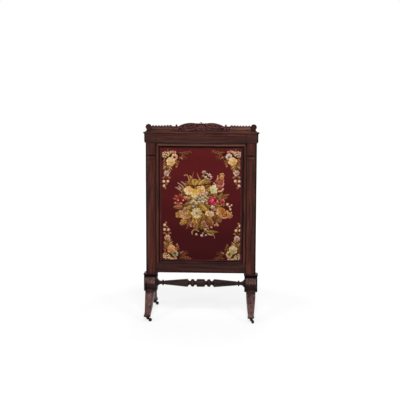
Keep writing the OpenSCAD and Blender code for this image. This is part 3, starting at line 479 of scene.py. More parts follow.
def makeCresting():
    c = crest
    frieze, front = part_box("frieze_front")[1].z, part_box("crest_shell")[1].y
    relief = Relief(-c["half"], c["half"], c["foot"], 52, c["grid"])
    carveCrest(relief)
    x, z = relief.x, relief.z
    room = crestTop(x) - z
    matted = np.random.default_rng(5).uniform(0, c["matting"], x.shape)
    ends = np.clip((c["half"] - np.abs(x)) / c["ends"], 0, 1)
    edge = np.clip((room - c["margin"]) / c["rise"], 0, 1)
    cut = np.where(relief.h > 0.1, c["bold"] * relief.h, matted)
    h = (c["deep"] + cut) * np.minimum(edge, ends) ** 0.5
    # Painted shade in the hollows and painted highlight on the ridges, by height over the neighbours
    level, span = c["hollowShadeRidgeHighlight"]
    ridgeHighlightHollowShade = np.clip(level + (h - softened(h, c["hollow"])) / span, 0, 1)
    kept = room > c["margin"] / 2
    rows, columns = x.shape
    count = rows * columns
    number = np.arange(count).reshape(rows, columns)
    cells = kept[:-1, :-1] & kept[1:, :-1] & kept[:-1, 1:] & kept[1:, 1:]
    i, j = np.nonzero(cells)
    quad = np.stack([number[i, j], number[i, j + 1], number[i + 1, j + 1], number[i + 1, j]], -1)
    faces = [quad, quad[:, ::-1] + count]
    padded = np.pad(cells, 1)
    for di, dj, a, b in ((-1, 0, 0, 1), (0, 1, 1, 2), (1, 0, 2, 3), (0, -1, 3, 0)):
        bare = ~padded[i + 1 + di, j + 1 + dj]
        one, other = quad[bare, a], quad[bare, b]
        faces.append(np.stack([other, one, one + count, other + count], -1))
    frontPoints = np.stack([x * mm, front - h * mm, frieze + z * mm], -1).reshape(-1, 3)
    backPoints = frontPoints.copy()
    backPoints[:, 1] = front + c["behind"] * mm
    points, faces = np.vstack([frontPoints, backPoints]), np.vstack(faces)
    used, faces = np.unique(faces, return_inverse=True)
    obj = meshPiece("crestCarving", points[used], faces.reshape(-1, 4), woods["carving"], "stand")
    layer = obj.data.attributes.new("ridgeHighlightHollowShade", "FLOAT", "POINT")
    layer.data.foreach_set("value", np.tile(ridgeHighlightHollowShade.reshape(-1), 2)[used].astype(np.float32))
    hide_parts("crest_shell", "crest_scroll_left", "crest_scroll_right")


makeCresting()
print("cresting carved")

# Needlework: wool cross stitch on canvas. A colour for each stitch is worked
# out on a grid as a chart is drawn, back motifs first, then each stitch is a
# facet of the cloth. Places are in mm from the middle of the panel.

needlework = {
    "stitch": 2.0,          # mm from stitch to stitch
    "thick": 0.9,           # mm of wool and canvas
    "raised": 0.35,         # mm that the motifs stand over the ground
    "warmth": (1.19, 1.09, 1.02),   # how the wool's nap lifts red, green and blue over its dye
    "darkens": 560,         # mm of height over which the ground goes from its dye lots to its foot
    "dyeLot": 23,           # mm: a sixth of the height from one darker band of the ground to the next
    "uneven": 0.045,        # how much the dye differs from one stitch to the next
    "clear": 0.02,          # mm from the highest stitch to the solid's back at the least
    "hair": 0.4545,         # mm across the nap's tufts, drawn coarse enough to show
    "relief": 0.25,         # mm of a stitch's slanting ridges
    "seed": 7,
}
# Wools of each motif from its darkest shade to its lightest, mellowed by age
wools = {
    "shadow": ("#2a0c08", "#3a160c", "#4a2210"),
    "brown": ("#34180a", "#5a3016", "#7e4e2c", "#9c6c46"),
    "rust": ("#481c10", "#763e22", "#9a6040", "#bb8766"),
    "olive": ("#38260c", "#5c4418", "#80642a", "#a08444"),
    "gold": ("#4a2a0c", "#7a5018", "#a4762c", "#c09648", "#d2b060"),
    "cream": ("#8c5c2c", "#bc8848", "#dcac6c", "#ecc690", "#f4dcb0"),
    "straw": ("#946420", "#c09438", "#deb65a", "#ecce84", "#f2dea8"),
    "ivory": ("#5c4822", "#8c7648", "#b6a06c", "#d0bd8a", "#e6d5a8"),
    "celery": ("#6c6634", "#9c965e", "#c4bc84", "#dcd8a8", "#ecead2"),
    "crimson": ("#3a0810", "#640f1a", "#8a1e26", "#a83a36"),
    "magenta": ("#48081c", "#861430", "#ba2a4a", "#d8506c", "#e88a90"),
    "peach": ("#6a3410", "#965a26", "#c08246", "#dca268", "#ecc294"),
    "blush": ("#7a3e2a", "#b4805c", "#dcb28e", "#f0d2b6"),
    "salmon": ("#521810", "#82382a", "#ae644c", "#d0907a", "#e4b2a2"),
    "mauve": ("#6a3e26", "#98684a", "#c09270", "#d8b08e"),
    "lilac": ("#6e4a40", "#a88474", "#d2b2a4", "#eedacc"),
    "sky": ("#58463e", "#86726a", "#b0a098", "#d8ccc2"),
    "sea": ("#484630", "#787258", "#9c987e", "#c2bea0"),
}
grounds = ("#5c1b1e", "#642124", "#431519")     # two dye lots, and what they come to at the foot


class Chart:
    def __init__(self, low, high, middle):
        step = needlework["stitch"] * mm
        self.columns = int((high.x - low.x) / step)
        self.rows = int((high.z - low.z) / step)
        self.across = (low.x + (np.arange(self.columns) + 0.5) * (high.x - low.x) / self.columns
                       - middle.x) / mm
        self.upward = (low.z + (np.arange(self.rows) + 0.5) * (high.z - low.z) / self.rows
                       - middle.z) / mm
        self.u, self.v = np.meshgrid(self.across, self.upward)
        self.colour = np.zeros(self.u.shape + (3,))
        self.raised = np.zeros(self.u.shape)
        self.random = np.random.default_rng(needlework["seed"])

    def near(self, u, v, reach):
        # The stitches round a place, so that a motif is worked out there only
        rows = slice(*np.searchsorted(self.upward, (v - reach, v + reach)))
        columns = slice(*np.searchsorted(self.across, (u - reach, u + reach)))
        return (rows, columns), self.u[rows, columns] - u, self.v[rows, columns] - v

    def turned(self, u, v, aim, reach):
        # The same, with how far each stitch is along an aim and to the left of it
        place, du, dv = self.near(u, v, reach)
        c, s = heading(aim)
        return place, du * c + dv * s, dv * c - du * s

    def paint(self, place, mask, shade, name, raised=1.0):
        shades = np.array([linear(c)[:3] for c in wools[name]])
        index = np.clip((shade * len(shades)).astype(int), 0, len(shades) - 1)
        self.colour[place][mask] = shades[index[mask]]
        self.raised[place][mask] = raised

    def leaf(self, u, v, aim, length, wide, name, bend=0.0, edge="shadow"):
        # A toothed leaf on a bent rib, one half in the light, with a dark edge
        place, along, aside = self.turned(u, v, aim, length * 1.1 + wide)
        t = along / length
        aside = aside - bend * length * np.clip(t, 0, 1) ** 2
        tooth = np.abs((t * length / 9) % 1 - 0.5)
        half = wide / 2 * np.sin(math.pi * np.clip(t, 0, 1) ** 0.75) * (0.82 + 0.36 * tooth)
        off = np.abs(aside)
        around = (t > -0.03) & (t < 1.05) & (off < half + 0.9 + 0.05 * wide)
        self.paint(place, around, np.full_like(t, 0.5), edge, 0.5)
        vein = (t * length / 8 - off / 7) % 1
        lit = np.where(aside * heading(aim)[0] > 0, 0.86, 0.56)
        shade = lit - 0.3 * (vein < 0.3) + 0.1 * t - 0.3 * (off < 1.1)
        self.paint(place, (t > 0) & (t < 1) & (off < half), shade, name, 0.7)

    def stroke(self, points, name, wide, tip=None, shade=0.6):
        # A stem, curl or thin leaf: a bent line that thins towards its tip
        spots = np.array(points, float)
        middle, reach = spots.mean(0), np.ptp(spots, axis=0).max() + wide
        place, du, dv = self.near(*middle, reach)
        spots = spots - middle
        lengths = np.hypot(*np.diff(spots, axis=0).T)
        total, done = lengths.sum(), 0.0
        best = np.full(du.shape, 1e9)
        side = np.zeros(du.shape)
        for (u0, v0), (u1, v1), length in zip(spots, spots[1:], lengths):
            c, s = (u1 - u0) / length, (v1 - v0) / length
            t = np.clip((du - u0) * c + (dv - v0) * s, 0, length)
            away = np.hypot(du - u0 - t * c, dv - v0 - t * s)
            f = (done + t) / total
            half = (wide + ((wide if tip is None else tip) - wide) * f) / 2
            closer = away / half < best
            best = np.where(closer, away / half, best)
            side = np.where(closer, (dv - v0) * c - (du - u0) * s, side)
            done += length
        self.paint(place, best < 1, shade + 0.2 * np.sign(side), name, 0.6)

    def lobe(self, u, v, aim, long, wide, name, low, high, rim=0.22):
        # One petal: an oval that goes from a low shade at its root to a high one at its tip,
        # with a dark line round it
        place, along, aside = self.turned(u, v, aim, max(long, wide) + 3)
        along, aside = along / long, aside / wide
        far = np.hypot(along, aside)
        self.paint(place, far < 1 + 1.3 / min(long, wide), np.full_like(far, rim), name)
        shade = low + (high - low) * (along + 1) / 2 - 0.12 * (np.abs(aside) < 0.14) * (along < 0.3)
        self.paint(place, far < 1, np.clip(shade, 0, 0.999), name)

    def bloom(self, u, v, wide, high, name, petals=6, rings=3, turn=0.0, heart=None, light=0.0,
              lit=120, rim=0.22):
        # A full flower: rings of petals from the outside in, brightest on the side of the light
        for ring in range(rings):
            share = 1 - ring / (rings + 0.2)
            count = max(3, round(petals * (0.45 + 0.55 * share)))
            for i in range(count):
                aim = turn + 40 * ring + 360 * i / count + self.random.uniform(-7, 7)
                c, s = heading(aim)
                size = share * self.random.uniform(0.9, 1.08)
                long, broad = 0.44 * size, min(0.5, 2.2 / count) * size
                glow = light + 0.17 * heading(aim - lit)[0] + self.random.uniform(-0.09, 0.09)
                stretch = (wide * high) ** 0.5
                self.lobe(u + wide * (size - long) * c, v + high * (size - long) * s, aim, long * stretch,
                          broad * stretch, name, 0.36 + glow, 0.78 + glow, rim + 0.5 * light)
        if heart:
            self.lobe(u, v, lit, 0.12 * wide, 0.12 * high, heart, 0.3, 0.9)

    def rose(self, u, v, wide, high, name, turn=0.0, light=0.0, lit=120):
        # Broad outer petals round a rolled heart
        self.lobe(u, v, lit, 0.93 * wide, 0.93 * high, name, 0.35, 0.9)
        self.bloom(u, v, wide, high, name, 6, 2, turn, None, light, lit)
        place, du, dv = self.near(u, v, max(wide, high))
        x, y = du / wide, dv / high
        far, angle = np.hypot(x, y), np.arctan2(y, x) + math.radians(turn)
        roll = (far * 4.4 - angle / math.pi) % 1
        c, s = heading(lit)
        shade = 0.16 + 0.62 * roll + 0.35 * (x * c + y * s) + light
        self.paint(place, far < 0.46 + 0.05 * np.cos(3 * angle), np.clip(shade, 0, 0.999), name)

    def floret(self, u, v, r, name, turn=0.0, heart="shadow", petals=5):
        # Four or five small petals with a dark eye on a dark patch, each a few stitches
        place, du, dv = self.near(u, v, r + 3)
        far = np.hypot(du, dv)
        self.paint(place, far < r + 1, np.full_like(far, 0.4), heart)
        for i in range(petals):
            c, s = heading(turn + 360 * i / petals)
            away = np.hypot(du - 0.6 * r * c, dv - 0.6 * r * s)
            self.paint(place, away < 0.44 * r, np.full_like(far, 0.62 + 0.3 * s), name)
        self.paint(place, far < 0.24 * r, np.full_like(far, 0.9), heart)

    def bud(self, u, v, r, name, aim=90):
        # A closed bud in a green cup
        self.lobe(u, v, aim, r, 0.78 * r, name, 0.45, 1.0, 0.05)
        c, s = heading(aim)
        self.lobe(u - 0.75 * r * c, v - 0.75 * r * s, aim, 0.4 * r, 0.6 * r, "olive", 0.4, 0.6)

    def bell(self, u, v, aim, size, name):
        # A foxglove bell: a tube, a dark throat and a pale rolled lip
        c, s = heading(aim)
        self.lobe(u - 0.5 * size * c, v - 0.5 * size * s, aim, size, 0.62 * size, name, 0.5, 0.4)
        self.lobe(u + 0.1 * size * c, v + 0.1 * size * s, aim + 90, 0.62 * size, 0.4 * size, name,
                  0.15, 0.3)
        lip = [(u + size * (0.55 * c - k * s * 0.66 - 0.28 * k * k * c),
                v + size * (0.55 * s + k * c * 0.66 - 0.28 * k * k * s)) for k in (-1, -0.5, 0, 0.5, 1)]
        self.stroke(lip, name, 0.42 * size, 0.42 * size, 0.86)

    def spray(self, points, leaves, name, size=15, wide=0.42, spread=50, taper=0.4):
        self.stroke(points, name, 3, 2, 0.4)
        spots = np.array(points, float)
        steps = np.r_[0, np.cumsum(np.hypot(*np.diff(spots, axis=0).T))]
        for i in range(leaves):
            s = steps[-1] * (i + 0.4) / leaves
            u, v = np.interp(s, steps, spots[:, 0]), np.interp(s, steps, spots[:, 1])
            k = max(1, min(np.searchsorted(steps, s), len(points) - 1))
            aim = math.degrees(math.atan2(*(spots[k] - spots[k - 1])[::-1]))
            shrink = 1 - taper * i / leaves
            for side in (-1, 1):
                self.leaf(u, v, aim + side * spread, size * shrink, size * wide * shrink, name,
                          -0.15 * side)


def each(draw, *motifs):
    for motif in motifs:
        draw(*motif)


def chartGround(chart):
    first, second, foot = np.array([linear(c)[:3] for c in grounds])
    pick = chart.random.random(chart.u.shape)
    base = first + (second - first) * pick[..., None]
    darker = np.clip(0.5 - chart.v / needlework["darkens"], 0, 1)[..., None]
    base = base * (1 - darker) + foot * darker
    bands = 1 + 0.06 * np.sin(chart.v / needlework["dyeLot"] + 0.4 * np.sin(chart.u / 70))
    chart.colour[:] = base * bands[..., None]


def chartFoliage(chart):
    # A dark ground of small leaves fills the bouquet, then larger ones that point outward
    rnd = chart.random
    kinds = ("gold", "brown", "olive", "gold", "rust", "olive", "brown")
    for pitch, long, wide, far in ((11, 17, 9, 1.0), (18, 36, 19, 0.86)):
        spots = [(u + rnd.uniform(-6, 6), v + rnd.uniform(-6, 6))
                 for v in np.arange(-140, 128, pitch) for u in np.arange(-124, 124, pitch)]
        spots = [(u, v) for u, v in spots if (u / 112) ** 2 + ((v + 10) / 120) ** 2 < far]
        spots.sort(key=lambda spot: -math.hypot(spot[0], spot[1] + 10))
        for i, (u, v) in enumerate(spots):
            aim = math.degrees(math.atan2(v + 10, u)) + rnd.uniform(-60, 60)
            chart.leaf(u, v, aim, long * rnd.uniform(0.8, 1.2), wide, kinds[i % 7], rnd.uniform(-0.2, 0.2))


# Leaves round the bouquet: start, aim, length, width, bend, wool
bouquetLeaves = (
    (-104, -14, 176, 60, 30, 0.1, "rust"), (-96, -2, 164, 46, 16, -0.2, "brown"),
    (-84, -92, 238, 40, 12, 0.1, "brown"), (-66, -98, 246, 50, 12, 0.1, "rust"),
    (-76, -84, 262, 44, 18, 0.1, "brown"), (-58, -74, 256, 50, 20, 0.05, "brown"),
    (-40, -80, 262, 46, 24, 0.0, "gold"), (-22, -80, 268, 52, 26, 0.1, "gold"),
    (-30, -104, 250, 40, 16, 0.1, "rust"), (-14, -104, 262, 48, 22, -0.1, "olive"),
    (2, -78, 284, 60, 26, 0.0, "brown"), (-2, -112, 276, 52, 20, 0.1, "olive"),
    (12, -124, 280, 44, 18, 0.1, "olive"), (22, -132, 292, 36, 16, 0.0, "olive"),
    (26, -160, 4, 78, 22, -0.05, "olive"), (34, -166, 332, 44, 10, 0.2, "mauve"),
    (74, -60, 300, 46, 30, 0.1, "brown"), (88, -64, 316, 44, 24, -0.1, "brown"),
    (96, -74, 336, 30, 16, 0.1, "olive"), (84, -84, 330, 40, 20, 0.0, "rust"),
    (98, 38, 14, 76, 26, 0.1, "brown"), (100, 30, 4, 60, 12, 0.2, "rust"),
    (104, 26, 62, 52, 24, 0.1, "olive"), (128, -10, 66, 26, 12, 0.1, "olive"),
    (-24, 108, 128, 44, 16, 0.1, "rust"), (-36, 112, 100, 38, 20, -0.1, "gold"),
    (-14, 110, 96, 42, 18, 0.1, "brown"), (-36, 116, 168, 62, 22, -0.1, "rust"),
    (-44, 118, 152, 44, 18, 0.1, "gold"), (-66, 106, 40, 60, 34, 0.1, "gold"),
    (-46, 108, 106, 68, 30, 0.05, "gold"), (-34, 104, 62, 54, 30, -0.1, "gold"),
    (-16, 104, 46, 66, 32, 0.0, "gold"), (2, 112, 36, 56, 26, -0.2, "gold"),
    (4, 118, 12, 70, 16, 0.05, "rust"), (14, 112, 26, 48, 22, -0.1, "olive"),
    (24, 84, 60, 44, 26, 0.0, "gold"), (30, 82, 38, 44, 24, 0.1, "gold"),
    (10, 98, 14, 48, 22, 0.1, "brown"), (-94, 58, 128, 50, 16, 0.1, "olive"),
    (-92, 62, 106, 44, 16, -0.1, "brown"),
)
# Small flowers of the bouquet: place, radius, wool
bouquetFlorets = (
    (-44, 15, 16, "ivory"), (-28, 5, 12, "ivory"), (-60, 8, 8, "sky"), (-32, 33, 9, "sky"),
    (-12, 14, 11, "ivory"), (-9, 31, 10, "sky"), (9, 15, 12, "lilac"), (9, 36, 11, "ivory"),
    (23, 48, 10, "ivory"), (26, 25, 10, "ivory"), (12, 58, 9, "blush"), (32, 66, 10, "lilac"),
    (-5, 50, 9, "sky"), (36, 38, 8, "sea"), (-20, 42, 8, "sea"), (42, 80, 6, "mauve"),
    (-46, -12, 9, "sky"), (67, -14, 12, "lilac"), (78, -33, 7, "salmon"), (32, 6, 8, "mauve"),
)
# Florets that stand free of it
sprayFlorets = (
    (16, 186, 12, "mauve"), (26, 158, 8, "lilac"), (48, 170, 10, "lilac"), (37, 147, 7, "ivory"),
    (12, 165, 7, "mauve"), (34, 178, 6, "sky"), (58, 160, 6, "lilac"),
    (33, -127, 7, "mauve"), (26, -143, 7, "lilac"), (43, -140, 5, "mauve"), (38, -155, 6, "mauve"),
    (-27, -173, 7, "lilac"), (5, -180, 8, "lilac"), (28, -178, 6, "sky"), (12, -166, 5, "mauve"),
)


def chartFoxglove(chart):
    chart.stroke([(88, 52), (98, 104), (108, 140), (118, 172)], "olive", 5)
    for u, v, wide, high in ((110, 106, 14, 24), (104, 130, 15, 16), (112, 150, 12, 14)):
        chart.bloom(u, v, wide, high, "salmon", 6, 3, v, None, -0.26)
    chart.bloom(118, 166, 14, 18, "peach", 6, 2, 10, None, -0.06)
    for u, v, aim, size in ((86, 124, 240, 18), (118, 118, 318, 18), (102, 148, 120, 15),
                            (111, 91, 300, 23), (98, 164, 160, 9), (124, 138, 340, 10),
                            (104, 114, 250, 9)):
        chart.bell(u, v, aim, size, "salmon")
    chart.bloom(119, 158, 11, 12, "peach", 5, 1, 20, None, 0.1)


def chartLeftSide(chart):
    for points in (((-84, 104), (-98, 122), (-112, 133)), ((-104, 104), (-114, 114), (-133, 126)),
                   ((-108, 90), (-124, 94), (-146, 99)), ((-98, 92), (-106, 104), (-116, 116)),
                   ((-104, 70), (-120, 84), (-132, 90)), ((-96, 66), (-108, 60), (-122, 56)),
                   ((-100, 80), (-112, 92), (-128, 108))):
        chart.stroke([(-90, 56), points[0]], "olive", 4, 4, 0.5)
        chart.stroke(points, "mauve", 9, 6, 0.5)
        chart.stroke(points[1:], "lilac", 5, 4, 0.4)
    for u, v in ((-104, 72), (-112, 86), (-98, 60), (-104, 56)):
        chart.lobe(u, v, 60, 7, 4, "olive", 0.3, 0.8)
    for i in range(26):
        aim = 55 + 250 * i / 25
        c, s = heading(aim)
        reach = chart.random.uniform(32, 48)
        name, shade = (("salmon", 0.3), ("crimson", 0.6), ("crimson", 0.2), ("crimson", 0.85))[i % 4]
        chart.stroke([(-122, 26), (-122 + reach * c, 28 + 0.8 * reach * s)], name, 7, 3, shade)
    each(chart.bloom, (-98, 26, 24, 26, "crimson", 8, 2, 20, None, -0.1),
         (-122, 34, 20, 20, "crimson", 9, 2, 0, None, 0.1))
    for u, v, aim in ((-140, 48, 140), (-148, 34, 165), (-138, 8, 200), (-124, 4, 250), (-112, 54, 95)):
        chart.lobe(u, v, aim, 9, 3.4, "salmon", 0.35, 0.7)
    each(chart.leaf, (-66, 26, 146, 46, 22, "salmon", 0.1, "crimson"), (-52, 44, 200, 36, 16, "gold"))
    for u, v in ((-132, 24), (-102, 24), (-115, 6), (-148, 8)):
        chart.floret(u, v, 5, "blush", u, "crimson")
    each(chart.bloom, (-132, -58, 15, 20, "gold", 5, 2, 10, None, 0.0, 220),
         (-114, -48, 15, 16, "mauve", 5, 2, 60), (-86, -28, 17, 17, "mauve", 6, 2, 10),
         (-72, -52, 15, 20, "gold", 5, 2, 30, None, 0.04))
    chart.rose(-97, -62, 22, 24, "mauve", 15, 0.08, 230)
    each(chart.bloom, (-82, -60, 12, 16, "peach", 5, 2, 80),
         (-112, -108, 12, 11, "mauve", 5, 1, 200, None, 0.1),
         (-101, -97, 18, 15, "gold", 6, 2, 20, "straw", 0.1),
         (-54, -115, 12, 15, "salmon", 5, 2, 250, None, -0.1, 200))


def chartMiddle(chart):
    each(chart.leaf, (-62, 10, 200, 40, 24, "olive"), (-52, -4, 216, 40, 22, "gold"),
         (-14, 4, 250, 36, 26, "olive"), (-14, 4, 322, 74, 52, "olive", 0.1),
         (-8, 0, 316, 60, 34, "gold", 0.12, "olive"), (20, 4, 330, 44, 24, "olive", -0.1))
    each(chart.stroke, ([(-86, 112), (-60, 112), (-40, 106), (-12, 112), (24, 108)], "shadow", 6),
         ([(20, 117), (42, 119)], "shadow", 7, 4))
    for u, v, r, name in bouquetFlorets:
        chart.floret(u, v, r, name, 3 * u, "brown" if r > 9 else "shadow", 4 + int(r) % 3)
    each(chart.bloom, (-4, 84, 31, 26, "cream", 5, 2, 200, None, -0.04, 60, 0.32),
         (-70, 80, 28, 29, "cream", 5, 2, 15, None, 0.1, 200, 0.36))
    chart.rose(-38, 66, 28, 23, "straw", 230, 0.06, 250)
    chart.stroke([(-26, 88), (-20, 97), (-10, 101)], "peach", 4, 3, 0.3)
    chart.bloom(71, 88, 22, 27, "celery", 8, 2, 11, "celery", 0.06, 60, 0.42)
    chart.rose(70, 24, 27, 28, "magenta", 62, 0.0, 20)
    chart.stroke([(48, 34), (58, 47), (76, 52), (92, 46)], "salmon", 7, 5, 0.36)
    each(chart.lobe, (60, 22, 40, 15, 9, "magenta", 0.5, 0.9), (84, 30, 80, 12, 7, "crimson", 0.5, 0.9))
    each(chart.bloom, (122, 20, 14, 14, "magenta", 6, 2, 10, None, 0.0, 60),
         (-26, -49, 32, 32, "ivory", 12, 4, 24, "olive", 0.04, 150, 0.4))
    for aim in (240, 262, 284, 306):
        c, s = heading(aim)
        chart.lobe(-25 + 20 * c, -50 + 20 * s, aim, 8, 6.5, "cream", 0.62, 0.9, 0.2)
    each(chart.bloom, (41, -49, 17, 17, "cream", 6, 2, 80, "brown", 0.1, 160),
         (60, -52, 16, 18, "blush", 5, 2, 100, None, 0.1, 60))


def chartRightSide(chart):
    each(chart.bloom, (168, -64, 12, 15, "salmon", 5, 2, 20, None, 0.1),
         (147, -54, 20, 24, "peach", 6, 2, 20, "brown", -0.1, 60))
    each(chart.stroke, ([(114, -68), (124, -76), (138, -78), (152, -72)], "salmon", 9, 7, 0.75),
         ([(122, -71), (134, -74)], "blush", 4, 3, 0.7))
    chart.rose(113, -40, 26, 28, "peach", 150, -0.06, 180)
    for u, v, r, aim in ((154, 2, 10, 150), (174, -3, 6, 60), (163, -8, 7, 300), (166, -26, 8, 20),
                         (172, -44, 6, 330)):
        chart.bud(u, v, r, "blush" if v > -40 else "peach", aim)
    chart.bloom(16, -110, 15, 20, "mauve", 5, 2, 80, None, -0.12)
    chart.rose(51, -104, 21, 26, "rust", 5, -0.06, 60)
    chart.lobe(50, -104, 90, 9, 7, "gold", 0.2, 0.5)
    chart.bud(60, -128, 8, "salmon", 280)
    for u, v, r in ((80, -118, 7), (90, -114, 8), (97, -120, 6)):
        chart.lobe(u, v, 60, r, 0.7 * r, "blush", 0.3, 0.7)
    for u, v in ((104, -96), (96, -86), (112, -92), (90, -100)):
        chart.lobe(u, v, 30, 8, 3.5, "mauve", 0.2, 0.5)


def chartTips(chart):
    # Curls and tips that stand out of the leaves
    each(chart.stroke,
         ([(-64, 140), (-71, 160), (-80, 172), (-91, 174), (-99, 167)], "shadow", 16, 10, 0.5),
         ([(-66, 140), (-72, 160), (-80, 171), (-90, 173), (-97, 168)], "rust", 10, 7, 0.72),
         ([(-56, 144), (-49, 162), (-43, 186)], "rust", 11, 5, 0.5),
         ([(-4, 146), (-14, 160), (-22, 180)], "rust", 10, 5, 0.66),
         ([(-74, 114), (-94, 125)], "rust", 9, 4, 0.6),
         ([(50, 146), (58, 150), (68, 160)], "salmon", 6, 3, 0.6),
         ([(40, 138), (50, 142), (56, 148)], "mauve", 5, 3, 0.4),
         ([(-30, -166), (-8, -152), (10, -150)], "shadow", 22, 14, 0.4),
         ([(-49, -170), (-50, -158), (-42, -148), (-28, -146), (-14, -156)], "mauve", 10, 6, 0.34),
         ([(-42, -172), (-41, -161), (-33, -154), (-24, -158)], "shadow", 6, 5, 0.5),
         ([(66, -166), (74, -178), (80, -194)], "mauve", 6, 4, 0.4),
         ([(-72, -104), (-80, -124), (-84, -142)], "rust", 5, 3, 0.5))
    for u, v, r in ((-40, 143, 6), (-12, 136, 5), (18, 128, 5), (40, 130, 5)):
        chart.lobe(u, v, 100, r, 0.7 * r, "mauve", 0.3, 0.7)


def chartBouquet(chart):
    chartFoliage(chart)
    for u, v, aim, length, wide, bend, name in bouquetLeaves:
        chart.leaf(u, v, aim, length, wide, name, bend)
    chartTips(chart)
    chartFoxglove(chart)
    chartLeftSide(chart)
    chartMiddle(chart)
    chartRightSide(chart)
    for u, v, r, name in sprayFlorets:
        chart.floret(u, v, r, name, 2 * u)


# How far each corner's flowers lie outward of the first corner's, in mm, then the wools of
# the rose, the second rose, its heart, the florets, the end flower, the buds and the fronds
cornerFlowers = {
    (-1, 1): (0, 0, "cream", "blush", "rust", "ivory", "lilac", "blush", "rust"),
    (1, 1): (5, 3, "cream", "lilac", "sky", "lilac", "lilac", "blush", "rust"),
    (-1, -1): (-3, 13, "peach", "sea", "olive", "ivory", "blush", "blush", "rust"),
    (1, -1): (11, 15, "ivory", "ivory", "olive", "sea", "lilac", "blush", "brown"),
}


def chartCorner(chart, side, up):
    outU, outV, rose, second, heart, small, end, buds, frond = cornerFlowers[side, up]
    lit = 120 if up > 0 else 90

    def at(a, b):
        return side * (a + outU), up * (b + outV)

    def aimed(aim):     # aims are drawn for the upper right corner
        c, s = heading(aim)
        return math.degrees(math.atan2(up * s, side * c))

    chart.spray([at(140, 290), at(112, 292), at(88, 297), at(62, 304)], 5, frond, 30, 0.2, 30, 0.3)
    chart.spray([at(136, 280), at(112, 274), at(84, 267)], 4, frond, 26, 0.2, 36, 0.35)
    chart.spray([at(136, 274), at(118, 265), at(100, 258)], 2, "brown", 20, 0.22, 40, 0.3)
    chart.leaf(*at(144, 290), aimed(178), 32, 9, "olive")
    chart.leaf(*at(126, 272), aimed(204), 28, 8, "salmon")
    for a, b, long, wide in ((184, 264, 42, 36), (199, 222, 20, 32), (146, 246, 15, 22), (132, 286, 16, 9)):
        chart.lobe(*at(a, b), 0, long, wide, "shadow", 0.4, 0.8)
    for a, b, aim, length, wide, name in (
            (212, 272, 268, 30, 11, "brown"), (202, 262, 318, 28, 10, frond),
            (146, 262, 246, 32, 16, frond), (152, 256, 286, 36, 16, frond),
            (140, 256, 226, 24, 12, "brown"), (196, 244, 268, 54, 12, "olive"),
            (200, 248, 316, 30, 10, frond), (200, 235, 318, 32, 10, frond),
            (200, 222, 318, 30, 10, "mauve"), (200, 209, 314, 24, 9, "brown"),
            (190, 234, 216, 34, 11, "gold"), (190, 221, 218, 34, 10, "mauve"),
            (192, 208, 226, 28, 10, "gold"), (194, 198, 242, 18, 8, frond),
            (196, 160, 196, 28, 11, frond), (202, 160, 344, 26, 11, frond),
            (226, 300, 270, 26, 12, "brown"), (160, 296, 96, 20, 12, frond),
            (192, 306, 100, 16, 9, "olive")):
        chart.leaf(*at(a, b), aimed(aim), length, wide, name)
    for a, b, aim, long, wide in ((142, 246, 300, 9, 6), (137, 234, 280, 9, 6), (142, 223, 260, 9, 6)):
        chart.lobe(*at(a, b), aimed(aim), long, wide, frond, 0.4, 0.9, 0.1)
    chart.stroke([at(198, 168), at(201, 140), at(206, 112), at(208, 90)], "rust", 3, 3, 0.4)
    chart.lobe(*at(197, 180), lit, 15, 14, end, 0.3, 0.7)
    chart.bloom(*at(197, 180), 18, 16, end, 7, 2, 15, None, -0.02, lit)
    chart.lobe(*at(192, 170), aimed(250), 6, 5, "blush", 0.6, 1.0)
    for a, b, r in ((214, 133, 8), (191, 134, 8), (213, 107, 8), (216, 153, 5), (182, 153, 5),
                    (198, 118, 5), (205, 94, 6)):
        chart.lobe(*at(a, b), lit, r, 0.95 * r, buds if r > 6 else "rust", 0.5, 0.95, 0.05)
    for a, b, aim, long, wide, name in ((171, 303, 170, 13, 7, "salmon"), (152, 299, 150, 10, 7, "salmon"),
                                        (214, 276, 0, 8, 6, "mauve"), (204, 273, 40, 6, 5, "mauve"),
                                        (186, 294, 70, 10, 6, "straw"), (177, 299, 110, 9, 5, small)):
        chart.lobe(*at(a, b), aimed(aim), long, wide, name, 0.4, 0.85, 0.1)
    for i, (a, b) in enumerate(((217, 297), (206, 301), (209, 289), (199, 286), (194, 299), (190, 281),
                                (219, 286))):
        chart.lobe(*at(a, b), 90, 4.6, 4.2, small if i % 2 else "blush", 0.6, 1.0, 0.05)
    chart.lobe(*at(153, 274), lit, 16, 18, second, 0.4, 0.9)
    chart.bloom(*at(153, 274), 18, 20, second, 7, 2, 25, None, 0.06, lit)
    chart.lobe(*at(154, 273), aimed(60), 7, 6, heart, 0.2, 0.6)
    chart.rose(*at(175, 247), 27, 22, rose, 80 * side, 0.08, lit)


